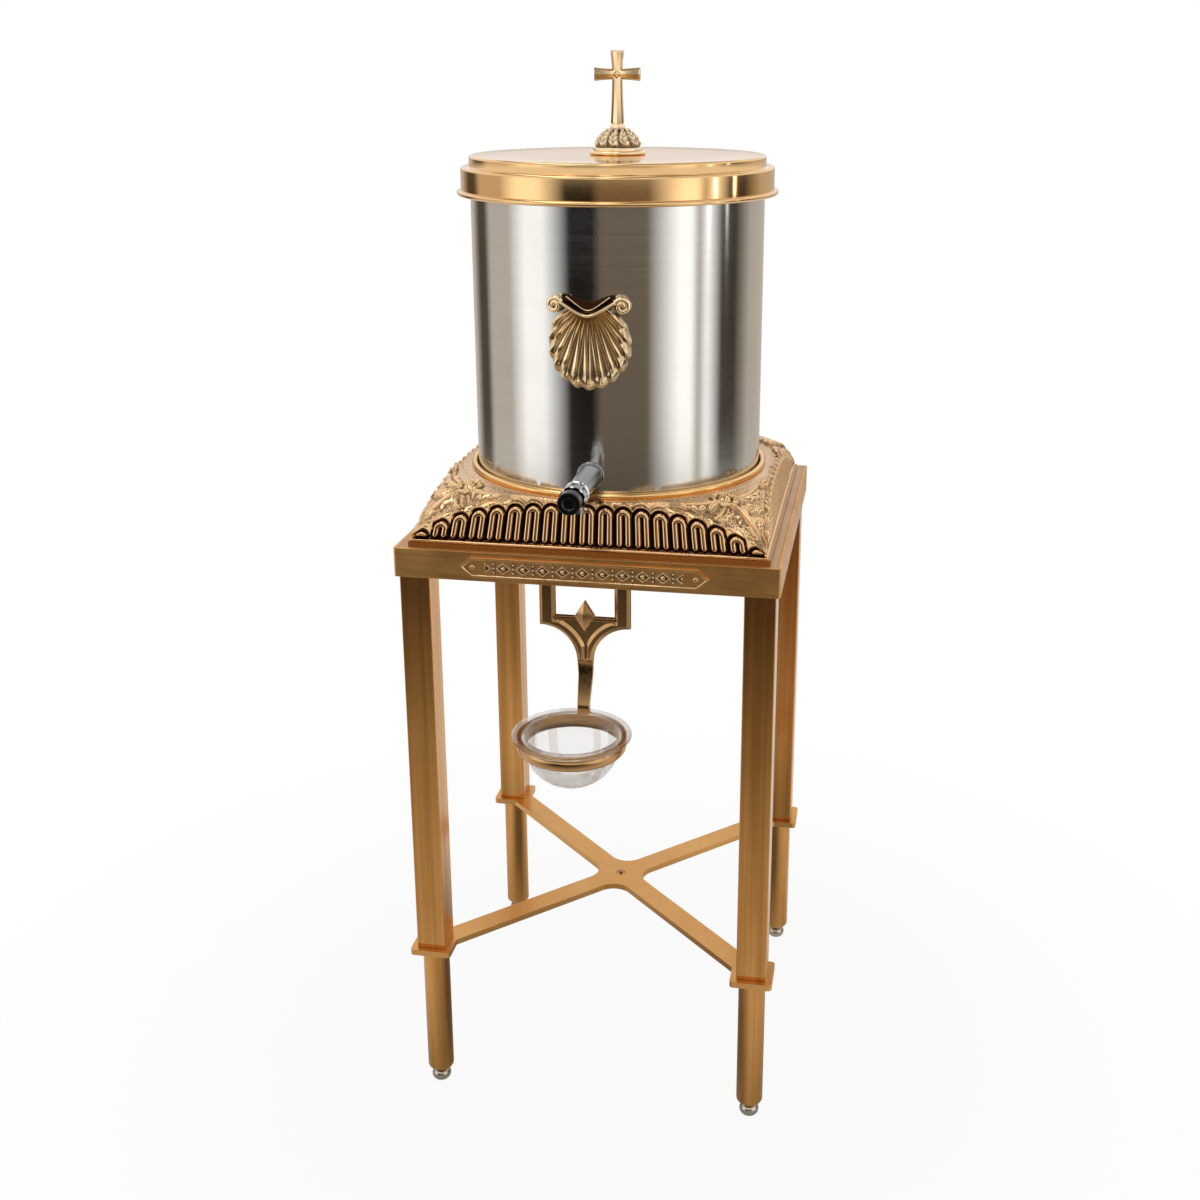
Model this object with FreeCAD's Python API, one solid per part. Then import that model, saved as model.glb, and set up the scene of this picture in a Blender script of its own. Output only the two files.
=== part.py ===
import FreeCAD, Part
import math
import os

from FreeCAD import Vector

# Holy water dispenser: a covered steel tank with a push tap, standing in an embossed brass base
# on a four-legged brass table, with a glass drip bowl hung under the tap.
# Millimetres. X runs to the right, Y to the back and Z up from the floor.
# Everything is laid out from the tank's axis and moved along Y once, at the end,
# so that the origin lies under the middle of the whole outline.

# Tank and what stands round it
TANK_DIAMETER = 304.8
TANK_HEIGHT = 357.8
TANK_WALL = 1.5
TANK_FLOOR_RADIUS = 6.0
TANK_RIM_RADIUS = 3.6

# Embossed base: its margins round the tank, its rise and the lean of its side panels
BASE_MARGIN = 28.1
BASE_HEIGHT = 46.5
BASE_WALL = 2.5
BASE_LIP = 1.0
PANEL_LEAN = 10.0
SPANDREL_BULGE = 10.0
BASE_LEDGE = 6.0
BASE_BOSS_RADIUS = 6.0
COLLAR_CLEARANCE = 2.5
COLLAR_WALL = 2.2
COLLAR_DEPTH = 12.0
COLLAR_BEAD_RADIUS = 2.4

# Flat plate under the embossed base
PLINTH_MARGIN = 2.5
PLINTH_THICKNESS = 4.5
PLINTH_CORNER_RADIUS = 3.0

# Table top and apron
TABLE_MARGIN = 11.3
TABLE_TOP_Z = 637.2
TOP_SHEET = 3.0
APRON_HEIGHT = 30.2
RAIL_THICKNESS = 4.0
TABLE_CORNER_RADIUS = 2.5

# Legs, their pads and the crossed stretcher
LEG_SIDE = 31.5
LEG_WALL = 2.0
LEG_CORNER_RADIUS = 1.5
PLUG_HEIGHT = 22.0
PAD_TOP_Z = 177.4
PAD_SIDE = 44.5
PAD_THICKNESS = 6.5
PAD_CORNER_RADIUS = 4.0
STRETCHER_WIDTH = 25.0
STRETCHER_FILLET = 22.0
LOWER_LEG_DIAMETER = 28.5
LOWER_LEG_BOTTOM_Z = 17.0
LOWER_LEG_EDGE_RADIUS = 4.5
LEG_STUD_RADIUS = 5.0
LEG_STUD_GRIP = 20.0

# Levelling feet
FOOT_RADIUS = 10.5
FOOT_SOLE_RADIUS = 5.0
FOOT_BALL_HEIGHT = 13.6
FOOT_NECK_RADIUS = 5.4
FOOT_SHOULDER_RADIUS = 8.0
FOOT_STUD_RADIUS = 4.0
FOOT_STUD_LENGTH = 25.0

# Screws and shared clearances
SCREW_RADIUS = 3.0
SCREW_HEAD_RADIUS = 5.6
SCREW_HEAD_HEIGHT = 2.6
SCREW_GRIP = 14.0
SMALL_SCREW_RADIUS = 2.0
SMALL_HEAD_RADIUS = 3.8
SMALL_HEAD_HEIGHT = 2.2
HOLE_CLEARANCE = 0.1
RUNNING_CLEARANCE = 0.05
MOVING_GAP = 0.3

# Nameplate on the front apron
PLATE_LENGTH = 250.0
PLATE_HEIGHT = 21.0
PLATE_POINT = 10.5
PLATE_THICKNESS = 1.8
PLATE_BORDER = 2.2
PLATE_BORDER_RISE = 1.2
PLATE_RIVET_SETBACK = 13.0
RIVET_RADIUS = 1.6
RIVET_HEAD_RADIUS = 3.2
RIVET_HEAD_HEIGHT = 2.0

# Drip bracket, measured down from the lower edge of the apron
STRAP_SPACING = 79.5
STRAP_WIDTH = 12.9
BRACKET_THICKNESS = 7.0
STRAP_RISE = 23.0
CROSSBAR_DROP = 33.5
ELBOW_DROP = 44.0
STEM_TOP_DROP = 81.0
STEM_BEND_DROP = 96.0
STEM_FOOT_DROP = 123.0
STEM_WIDTH = 14.0
RECESS_DEPTH = 2.5
RECESS_BORDER = 11.0
RECESS_TOP_BORDER = 3.0
DIAMOND_HEIGHT = 32.2
DIAMOND_WIDTH = 20.0
DIAMOND_RISE = 17.2
DIAMOND_RELIEF = 3.5

# Drip ring and glass bowl
RING_DROP = 131.1
RING_RADIUS = 53.6
RING_WALL = 4.2
RING_HEIGHT = 14.0
RING_TAPER = 3.4
RING_GAP = 6.6
LUG_HEIGHT = 10.0
LUG_DROP = 1.0
BOWL_STEM_GAP = 0.8
BOWL_CLEARANCE = 0.8
BOWL_WALL = 2.5
BOWL_DEPTH = 54.0
BOWL_FLANGE_OVERHANG = 4.9
BOWL_FLANGE_THICKNESS = 2.5

# Lid, finial and cross
LID_SHEET = 1.5
LID_RIM_CLEARANCE = 2.3
LID_SKIRT_DEPTH = 25.9
LID_BEAD_RADIUS = 2.6
LID_BEAD_OVERHANG = 4.2
LID_STEP_WIDTH = 8.8
LID_TIER_HEIGHT = 10.9
LID_SKIRT_CORNER = 3.0
LID_TIER_CORNER = 2.5
FINIAL_FLANGE_RADIUS = 29.5
FINIAL_FLANGE_HEIGHT = 4.0
FINIAL_DOME_RADIUS = 26.0
FINIAL_DOME_HEIGHT = 24.8
FINIAL_SEAT_RADIUS = 7.5
FINIAL_SEAT_HEIGHT = 2.0
CROSS_HEIGHT = 71.7
CROSS_SPAN = 47.3
CROSS_ARM_DROP = 23.2
CROSS_NECK_WIDTH = 10.0
CROSS_END_WIDTH = 13.4
CROSS_DEPTH = 8.0
CROSS_EDGE_DEPTH = 3.0
CROSS_TENON_LENGTH = 10.0

# Shell ornament on the front of the tank, heights measured from the tank floor
SHELL_CENTRE_HEIGHT = 199.0
SHELL_DISC_RADIUS = 41.0
SHELL_RIB_COUNT = 13
SHELL_RIB_STEP_DEG = 10.5
SHELL_APEX_RELIEF = 5.0
SHELL_CROWN_RELIEF = 6.5
SHELL_CROWN_SHARE = 0.5
SHELL_RIM_RELIEF = 2.0
SHELL_RIB_RELIEF = 2.2
SHELL_SCALLOP = 0.05
SHELL_BAND_HEIGHT = 8.5
SHELL_BAND_DIP = 9.0
SHELL_BAND_PROUD = 14.0
VOLUTE_RADIUS = 7.8
VOLUTE_SPACING = 68.0
VOLUTE_RISE = 48.5
SHELL_STUD_INSET = 3.5
SHELL_STUD_LENGTH = 14.0
NUT_THICKNESS = 5.0
NUT_RADIUS = 6.0

# Push tap, its lengths measured outward from the tank wall
TAP_HEIGHT = 68.3
SHANK_RADIUS = 9.5
SHANK_REACH = 28.0
GASKET_RADIUS = 13.5
GASKET_THICKNESS = 2.5
LOCK_NUT_THICKNESS = 8.0
LOCK_NUT_RADIUS = 15.0
BARREL_BACK_RADIUS = 12.2
BARREL_FRONT_RADIUS = 10.6
BARREL_LENGTH = 73.5
BARREL_BORE_RADIUS = 7.0
SEAT_BORE_RADIUS = 4.5
SEAT_THICKNESS = 6.0
SPOUT_SETBACK = 16.0
SPOUT_RADIUS = 6.3
SPOUT_WALL = 1.6
SPOUT_DROP = 20.5
BONNET_SPIGOT_RADIUS = 8.0
BONNET_SPIGOT_LENGTH = 10.0
BONNET_LENGTH = 10.0
BONNET_RADIUS = 12.6
BONNET_LOBES = 8
BONNET_LOBE_RADIUS = 2.6
NOSE_RADIUS = 8.6
NOSE_LENGTH = 7.5
SPRING_POCKET_RADIUS = 7.0
SPRING_POCKET_DEPTH = 13.0
SEAL_POCKET_DEPTH = 4.0
SEAL_SECTION_RADIUS = 1.05
STEM_RADIUS = 2.5
STEM_TENON_RADIUS = 1.6
DISC_RADIUS = 7.5
DISC_THICKNESS = 3.0
DISC_NUT_RADIUS = 3.5
DISC_NUT_THICKNESS = 2.5
BUTTON_RADIUS = 11.25
BUTTON_CLEARANCE = 0.6
BUTTON_TRAVEL = 5.0
BUTTON_STOP_GAP = 0.5
BUTTON_FACE = 2.6
BUTTON_DISH_RADIUS = 6.5
BUTTON_DISH_DEPTH = 1.2
SPRING_COIL_RADIUS = 5.0
SPRING_WIRE_RADIUS = 0.6
SPRING_TURNS = 5

# Places that follow from the sizes above
TANK_RADIUS = TANK_DIAMETER / 2
BASE_HALF = TANK_RADIUS + BASE_MARGIN
PLINTH_HALF = BASE_HALF + PLINTH_MARGIN
TABLE_HALF = PLINTH_HALF + TABLE_MARGIN
RAIL_INNER = TABLE_HALF - RAIL_THICKNESS
LEG_CENTRE = RAIL_INNER - LEG_SIDE / 2
LEG_BORE_SIDE = LEG_SIDE - 2 * LEG_WALL
SHEET_UNDER_Z = TABLE_TOP_Z - TOP_SHEET
APRON_BOTTOM_Z = TABLE_TOP_Z - APRON_HEIGHT
PAD_UNDER_Z = PAD_TOP_Z - PAD_THICKNESS
TANK_Z = TABLE_TOP_Z + PLINTH_THICKNESS
TANK_RIM_Z = TANK_Z + TANK_HEIGHT
COLLAR_INNER = TANK_RADIUS + COLLAR_CLEARANCE
COLLAR_OUTER = COLLAR_INNER + COLLAR_WALL
BASE_LEDGE_Z = TANK_Z + BASE_HEIGHT
BASE_SCREW_OFFSET = LEG_CENTRE - LEG_SIDE / 2 - SMALL_HEAD_RADIUS - BASE_BOSS_RADIUS
LID_STEP_Z = TANK_RIM_Z + MOVING_GAP + LID_SHEET
LID_TOP_Z = LID_STEP_Z + LID_TIER_HEIGHT
LID_SKIRT_INNER = TANK_RADIUS - TANK_WALL + 2 * TANK_RIM_RADIUS + LID_RIM_CLEARANCE
LID_SKIRT_OUTER = LID_SKIRT_INNER + LID_SHEET
LID_BEAD_Z = LID_STEP_Z - LID_SKIRT_DEPTH
DOME_Z = LID_TOP_Z + FINIAL_FLANGE_HEIGHT
SEAT_TOP_Z = DOME_Z + FINIAL_DOME_HEIGHT + FINIAL_SEAT_HEIGHT
CROSSING_Z = SEAT_TOP_Z + CROSS_HEIGHT - CROSS_ARM_DROP
SHELL_Z = TANK_Z + SHELL_CENTRE_HEIGHT
TAP_Z = TANK_Z + TAP_HEIGHT
RING_TOP_Z = APRON_BOTTOM_Z - RING_DROP
RING_Y = -(TABLE_HALF + RING_GAP + RING_RADIUS)
RING_INNER = RING_RADIUS - RING_WALL
BRACKET_FRONT_Y = -RAIL_INNER
BRACKET_BACK_Y = BRACKET_FRONT_Y + BRACKET_THICKNESS
PLATE_Z = APRON_BOTTOM_Z + APRON_HEIGHT / 2
BONNET_FRONT = BARREL_LENGTH + GASKET_THICKNESS + BONNET_LENGTH
NOSE_END = BONNET_FRONT + NOSE_LENGTH
BUTTON_INNER_FACE = NOSE_END + BUTTON_TRAVEL + BUTTON_STOP_GAP
BUTTON_FRONT = BUTTON_INNER_FACE + BUTTON_FACE
BOWL_FLANGE_RADIUS = RING_RADIUS + BOWL_FLANGE_OVERHANG
OUTLINE_FRONT = RING_Y - BOWL_FLANGE_RADIUS
OUTLINE_BACK = max(TABLE_HALF, LEG_CENTRE + PAD_SIDE / 2)
ORIGIN_SHIFT_Y = -(OUTLINE_FRONT + OUTLINE_BACK) / 2

CORNERS = {"front_left": (-1, -1), "front_right": (1, -1), "back_left": (-1, 1), "back_right": (1, 1)}


# Helpers for plain solids
def block(x0, x1, y0, y1, z0, z1):
    return Part.makeBox(x1 - x0, y1 - y0, z1 - z0, Vector(x0, y0, z0))


def square_block(side, z0, z1, corner_radius=0.0, x=0.0, y=0.0):
    half = side / 2
    solid = block(x - half, x + half, y - half, y + half, z0, z1)
    if corner_radius == 0.0:
        return solid
    uprights = [edge for edge in solid.Edges if edge.BoundBox.ZLength > (z1 - z0) / 2]
    return solid.makeFillet(corner_radius, uprights)


def upright_rod(radius, z0, z1, x=0.0, y=0.0):
    return Part.makeCylinder(radius, z1 - z0, Vector(x, y, z0))


def level_rod(radius, y0, y1, x=0.0, z=0.0):
    return Part.makeCylinder(radius, y1 - y0, Vector(x, y0, z), Vector(0, 1, 0))


def arc(centre_x, centre_z, radius, start_deg, end_deg):
    """Middle and end point of an arc, as one step of an outline."""
    def point(deg):
        turn = math.radians(deg)
        return (centre_x + radius * math.cos(turn), centre_z + radius * math.sin(turn))
    return (point((start_deg + end_deg) / 2), point(end_deg))


def crown_arc(radius, height, base_z):
    """Arc of a round head, from its edge up to its top on the axis."""
    sphere = (radius * radius + height * height) / (2 * height)
    centre_z = base_z + height - sphere
    edge_deg = math.degrees(math.atan2(base_z - centre_z, radius))
    return arc(0, centre_z, sphere, edge_deg, 90)


def outline(steps, lift):
    """Closed wire; each step is a point, or the middle and end point of an arc."""
    edges = []
    here = steps[0]
    for step in steps[1:] + steps[:1]:
        if isinstance(step[0], tuple):
            middle, end = step
            edges.append(Part.Arc(lift(here), lift(middle), lift(end)).toShape())
        else:
            end = step
            if math.dist(here, end) > 1e-6:
                edges.append(Part.LineSegment(lift(here), lift(end)).toShape())
        here = end
    return Part.Wire(edges)


def turned(steps):
    """Solid of revolution about the Z axis from (radius, height) steps."""
    face = Part.Face(outline(steps, lambda p: Vector(p[0], 0, p[1])))
    return face.revolve(Vector(0, 0, 0), Vector(0, 0, 1), 360)


def front_plate(steps, front_y, back_y):
    """Flat plate seen from the front, from (x, z) steps."""
    face = Part.Face(outline(steps, lambda p: Vector(p[0], front_y, p[1])))
    return face.extrude(Vector(0, back_y - front_y, 0))


def tap_turned(steps):
    """Solid of revolution about the tap's axis from (radius, distance out of the wall) steps."""
    solid = turned(steps)
    solid.rotate(Vector(0, 0, 0), Vector(1, 0, 0), 90)
    solid.translate(Vector(0, -TANK_RADIUS, TAP_Z))
    return solid


def tap_tube(outer, inner, start, end):
    return tap_turned([(inner, start), (outer, start), (outer, end), (inner, end)])


def hex_prism(radius, length):
    """Hexagonal prism up the Z axis, with radius to its corners."""
    corners = [Vector(radius * math.cos(k * math.pi / 3), radius * math.sin(k * math.pi / 3), 0)
               for k in range(6)]
    return Part.Face(Part.makePolygon(corners + corners[:1])).extrude(Vector(0, 0, length))


def joined(solids):
    return solids[0].multiFuse(solids[1:]).removeSplitter()


def group(solids):
    return Part.makeCompound(solids)


# Table
def leg_places():
    return [(LEG_CENTRE * sx, LEG_CENTRE * sy) for sx, sy in CORNERS.values()]


def base_screw_places():
    return [(BASE_SCREW_OFFSET * sx, BASE_SCREW_OFFSET * sy) for sx, sy in CORNERS.values()]


def countersink(head_radius, shank_radius, head_height, top_z, x, y):
    return Part.makeCone(shank_radius, head_radius, head_height, Vector(x, y, top_z - head_height))


def table_top():
    sheet = square_block(2 * RAIL_INNER, SHEET_UNDER_Z, TABLE_TOP_Z)
    for x, y in leg_places():
        sheet = sheet.cut(upright_rod(SCREW_RADIUS + HOLE_CLEARANCE, SHEET_UNDER_Z, TABLE_TOP_Z, x, y))
        sheet = sheet.cut(countersink(SCREW_HEAD_RADIUS + HOLE_CLEARANCE, SCREW_RADIUS + HOLE_CLEARANCE,
                                      SCREW_HEAD_HEIGHT, TABLE_TOP_Z, x, y))
    for x, y in base_screw_places():
        sheet = sheet.cut(upright_rod(SMALL_SCREW_RADIUS + HOLE_CLEARANCE,
                                      SHEET_UNDER_Z, TABLE_TOP_Z, x, y))
    return sheet


def apron_rails():
    """Four flat rails, mitred together at the corners."""
    ring = square_block(2 * TABLE_HALF, APRON_BOTTOM_Z, TABLE_TOP_Z, TABLE_CORNER_RADIUS)
    ring = ring.cut(square_block(2 * RAIL_INNER, APRON_BOTTOM_Z, TABLE_TOP_Z))
    rails = {}
    for turn, side in enumerate(("front", "right", "back", "left")):
        corners = [Vector(0, 0, APRON_BOTTOM_Z),
                   Vector(-TABLE_HALF, -TABLE_HALF, APRON_BOTTOM_Z),
                   Vector(TABLE_HALF, -TABLE_HALF, APRON_BOTTOM_Z)]
        wedge = Part.Face(Part.makePolygon(corners + corners[:1])).extrude(Vector(0, 0, APRON_HEIGHT))
        wedge.rotate(Vector(0, 0, 0), Vector(0, 0, 1), 90 * turn)
        rails["apron_" + side] = ring.common(wedge)
    for x in plate_rivet_places():
        hole = level_rod(RIVET_RADIUS + HOLE_CLEARANCE, -TABLE_HALF, -RAIL_INNER, x, PLATE_Z)
        rails["apron_front"] = rails["apron_front"].cut(hole)
    for x in strap_places():
        hole = level_rod(SMALL_SCREW_RADIUS + HOLE_CLEARANCE, -TABLE_HALF, -RAIL_INNER, x, PLATE_Z)
        rails["apron_front"] = rails["apron_front"].cut(hole)
    return rails


def leg_tube(x, y):
    tube = square_block(LEG_SIDE, PAD_TOP_Z, SHEET_UNDER_Z, LEG_CORNER_RADIUS, x, y)
    return tube.cut(square_block(LEG_BORE_SIDE, PAD_TOP_Z, SHEET_UNDER_Z, 0.0, x, y))


def leg_plug(z0, hole_radius, x, y):
    plug = square_block(LEG_BORE_SIDE - HOLE_CLEARANCE, z0, z0 + PLUG_HEIGHT, 0.0, x, y)
    return plug.cut(upright_rod(hole_radius + HOLE_CLEARANCE, z0, z0 + PLUG_HEIGHT, x, y))


def leg_top_screw(x, y):
    shank_end = SHEET_UNDER_Z - SCREW_GRIP
    head = countersink(SCREW_HEAD_RADIUS, SCREW_RADIUS, SCREW_HEAD_HEIGHT, TABLE_TOP_Z, x, y)
    return head.fuse(upright_rod(SCREW_RADIUS, shank_end, TABLE_TOP_Z - SCREW_HEAD_HEIGHT, x, y))


def leg_stud(x, y):
    return upright_rod(LEG_STUD_RADIUS, PAD_UNDER_Z - LEG_STUD_GRIP, PAD_TOP_Z + LEG_STUD_GRIP, x, y)


def lower_leg(x, y):
    radius = LOWER_LEG_DIAMETER / 2
    edge = LOWER_LEG_EDGE_RADIUS
    foot_hole = FOOT_STUD_RADIUS + RUNNING_CLEARANCE
    foot_hole_top = LOWER_LEG_BOTTOM_Z + FOOT_STUD_LENGTH + 2 * MOVING_GAP
    leg = turned([(0, LOWER_LEG_BOTTOM_Z), (radius - edge, LOWER_LEG_BOTTOM_Z),
                  arc(radius - edge, LOWER_LEG_BOTTOM_Z + edge, edge, -90, 0),
                  (radius, PAD_UNDER_Z), (0, PAD_UNDER_Z)])
    leg = leg.cut(upright_rod(LEG_STUD_RADIUS + HOLE_CLEARANCE, PAD_UNDER_Z - LEG_STUD_GRIP, PAD_UNDER_Z))
    leg = leg.cut(upright_rod(foot_hole, LOWER_LEG_BOTTOM_Z, foot_hole_top))
    leg.translate(Vector(x, y, 0))
    return leg


def levelling_foot(x, y):
    """Flattened ball on a short flared neck, with a threaded stud."""
    shoulder_z = LOWER_LEG_BOTTOM_Z - MOVING_GAP
    foot = turned([(0, 0), (FOOT_SOLE_RADIUS, 0),
                   ((FOOT_RADIUS, FOOT_BALL_HEIGHT / 2), (FOOT_NECK_RADIUS, FOOT_BALL_HEIGHT)),
                   (FOOT_SHOULDER_RADIUS, shoulder_z), (FOOT_STUD_RADIUS, shoulder_z),
                   (FOOT_STUD_RADIUS, LOWER_LEG_BOTTOM_Z + FOOT_STUD_LENGTH),
                   (0, LOWER_LEG_BOTTOM_Z + FOOT_STUD_LENGTH)])
    foot.translate(Vector(x, y, 0))
    return foot


def stretcher_hub(z0, z1):
    """Crossing of the two bars, with a round fillet in each inner corner."""
    half = STRETCHER_WIDTH / 2
    far = half + STRETCHER_FILLET
    steps = [(far, -half), (far, half), arc(far, far, STRETCHER_FILLET, 270, 180),
             (-half, far), arc(-far, far, STRETCHER_FILLET, 0, -90),
             (-far, -half), arc(-far, -far, STRETCHER_FILLET, 90, 0),
             (half, -far), arc(far, -far, STRETCHER_FILLET, 180, 90)]
    face = Part.Face(outline(steps, lambda p: Vector(p[0], p[1], z0)))
    hub = face.extrude(Vector(0, 0, z1 - z0))
    hub.rotate(Vector(0, 0, 0), Vector(0, 0, 1), 45)
    return hub.cut(upright_rod(SCREW_RADIUS + HOLE_CLEARANCE, z0, z1))


def stretcher_bar(turn_deg, hub_z0, hub_z1):
    """One diagonal bar with a pad under a leg at each end, half-lapped at the middle."""
    arm_start = STRETCHER_WIDTH / 2 + STRETCHER_FILLET
    arm_end = LEG_CENTRE * math.sqrt(2)
    pieces = [stretcher_hub(hub_z0, hub_z1)]
    for half_turn in (0, 180):
        direction = math.radians(turn_deg + half_turn)
        arm = block(arm_start, arm_end, -STRETCHER_WIDTH / 2, STRETCHER_WIDTH / 2, PAD_UNDER_Z, PAD_TOP_Z)
        arm.rotate(Vector(0, 0, 0), Vector(0, 0, 1), turn_deg + half_turn)
        x = math.copysign(LEG_CENTRE, math.cos(direction))
        y = math.copysign(LEG_CENTRE, math.sin(direction))
        pad = square_block(PAD_SIDE, PAD_UNDER_Z, PAD_TOP_Z, PAD_CORNER_RADIUS, x, y)
        hole = upright_rod(LEG_STUD_RADIUS + HOLE_CLEARANCE, PAD_UNDER_Z, PAD_TOP_Z, x, y)
        pieces.append(arm.fuse(pad).cut(hole))
    return joined(pieces)


def stretcher_screw():
    head = turned([(0, PAD_TOP_Z), (SCREW_HEAD_RADIUS, PAD_TOP_Z),
                   crown_arc(SCREW_HEAD_RADIUS, SCREW_HEAD_HEIGHT, PAD_TOP_Z)])
    return head.fuse(upright_rod(SCREW_RADIUS, PAD_UNDER_Z - NUT_THICKNESS, PAD_TOP_Z))


def stretcher_nut():
    nut = hex_prism(NUT_RADIUS, NUT_THICKNESS)
    nut.translate(Vector(0, 0, PAD_UNDER_Z - NUT_THICKNESS))
    return nut.cut(upright_rod(SCREW_RADIUS + HOLE_CLEARANCE, PAD_UNDER_Z - NUT_THICKNESS, PAD_UNDER_Z))


# Nameplate
def plate_rivet_places():
    reach = PLATE_LENGTH / 2 - PLATE_RIVET_SETBACK
    return (-reach, reach)


def plate_outline(inset):
    half_length = PLATE_LENGTH / 2 - inset
    half_height = PLATE_HEIGHT / 2 - inset
    shoulder = half_length - PLATE_POINT
    return [(-half_length, PLATE_Z), (-shoulder, PLATE_Z - half_height), (shoulder, PLATE_Z - half_height),
            (half_length, PLATE_Z), (shoulder, PLATE_Z + half_height), (-shoulder, PLATE_Z + half_height)]


def nameplate():
    """Bare plate with pointed ends and a raised border."""
    field_y = -TABLE_HALF - PLATE_THICKNESS
    border_y = field_y - PLATE_BORDER_RISE
    plate = front_plate(plate_outline(0.0), border_y, -TABLE_HALF)
    plate = plate.cut(front_plate(plate_outline(PLATE_BORDER), border_y, field_y))
    for x in plate_rivet_places():
        plate = plate.cut(level_rod(RIVET_RADIUS + HOLE_CLEARANCE, field_y, -TABLE_HALF, x, PLATE_Z))
    return plate


def nameplate_rivet(x):
    face_y = -TABLE_HALF - PLATE_THICKNESS
    head = turned([(0, 0), (RIVET_HEAD_RADIUS, 0), crown_arc(RIVET_HEAD_RADIUS, RIVET_HEAD_HEIGHT, 0)])
    head.rotate(Vector(0, 0, 0), Vector(1, 0, 0), 90)
    head.translate(Vector(x, face_y, PLATE_Z))
    return head.fuse(level_rod(RIVET_RADIUS, face_y, -RAIL_INNER, x, PLATE_Z))


# Base round the tank
def base_plate():
    plate = square_block(2 * PLINTH_HALF, TABLE_TOP_Z, TANK_Z, PLINTH_CORNER_RADIUS)
    for x, y in base_screw_places():
        plate = plate.cut(upright_rod(SMALL_SCREW_RADIUS + HOLE_CLEARANCE, TABLE_TOP_Z, TANK_Z, x, y))
    return plate


def base_mass(inset):
    """Leaning square block under a domed round, which meet in arched side panels."""
    def square(half, z):
        corners = [Vector(half * sx, half * sy, z) for sx, sy in ((-1, -1), (1, -1), (1, 1), (-1, 1))]
        return Part.makePolygon(corners + corners[:1])
    corner_radius = BASE_HALF * math.sqrt(2)
    edge_z = TANK_Z + BASE_WALL + BASE_LIP - inset
    ledge_radius = COLLAR_OUTER + BASE_LEDGE
    ledge_z = BASE_LEDGE_Z - inset
    middle = ((corner_radius + ledge_radius) / 2, (edge_z + ledge_z) / 2 + SPANDREL_BULGE)
    dome = turned([(0, TANK_Z), (corner_radius, TANK_Z), (corner_radius, edge_z),
                   (middle, (ledge_radius, ledge_z)), (0, ledge_z)])
    sides = Part.makeLoft([square(BASE_HALF - inset, TANK_Z),
                           square(BASE_HALF - PANEL_LEAN - inset, BASE_LEDGE_Z)], True, True)
    return sides.common(dome)


def embossed_base():
    outside = base_mass(0.0)
    bosses = [upright_rod(BASE_BOSS_RADIUS, TANK_Z, BASE_LEDGE_Z, x, y) for x, y in base_screw_places()]
    shell = outside.cut(base_mass(BASE_WALL))
    shell = shell.cut(upright_rod(COLLAR_OUTER + HOLE_CLEARANCE, TANK_Z, BASE_LEDGE_Z))
    shell = joined([shell] + [boss.common(outside) for boss in bosses])
    for x, y in base_screw_places():
        shell = shell.cut(upright_rod(SMALL_SCREW_RADIUS + HOLE_CLEARANCE, TANK_Z, TANK_Z + SCREW_GRIP, x, y))
    return shell


def base_screw(x, y):
    head = upright_rod(SMALL_HEAD_RADIUS, SHEET_UNDER_Z - SMALL_HEAD_HEIGHT, SHEET_UNDER_Z, x, y)
    return head.fuse(upright_rod(SMALL_SCREW_RADIUS, SHEET_UNDER_Z, TANK_Z + SCREW_GRIP - MOVING_GAP, x, y))


def collar_ring():
    """Loose-fitting guide round the tank, with a bead that covers the edge of the base."""
    bead_z = BASE_LEDGE_Z + COLLAR_BEAD_RADIUS
    bead_centre = COLLAR_INNER + COLLAR_BEAD_RADIUS
    wall = turned([(COLLAR_INNER, BASE_LEDGE_Z - COLLAR_DEPTH), (COLLAR_OUTER, BASE_LEDGE_Z - COLLAR_DEPTH),
                   (COLLAR_OUTER, bead_z), (COLLAR_INNER, bead_z)])
    bead = turned([(bead_centre + COLLAR_BEAD_RADIUS, bead_z),
                   arc(bead_centre, bead_z, COLLAR_BEAD_RADIUS, 0, 180),
                   arc(bead_centre, bead_z, COLLAR_BEAD_RADIUS, 180, 360)])
    return joined([wall, bead])


# Drip bracket, ring and bowl
def strap_places():
    return (-STRAP_SPACING / 2, STRAP_SPACING / 2)


def pyramid(corners, apex):
    faces = [Part.Face(Part.makePolygon(corners + corners[:1]))]
    for first, second in zip(corners, corners[1:] + corners[:1]):
        faces.append(Part.Face(Part.makePolygon([first, second, apex, first])))
    return Part.Solid(Part.Shell(faces))


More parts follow.
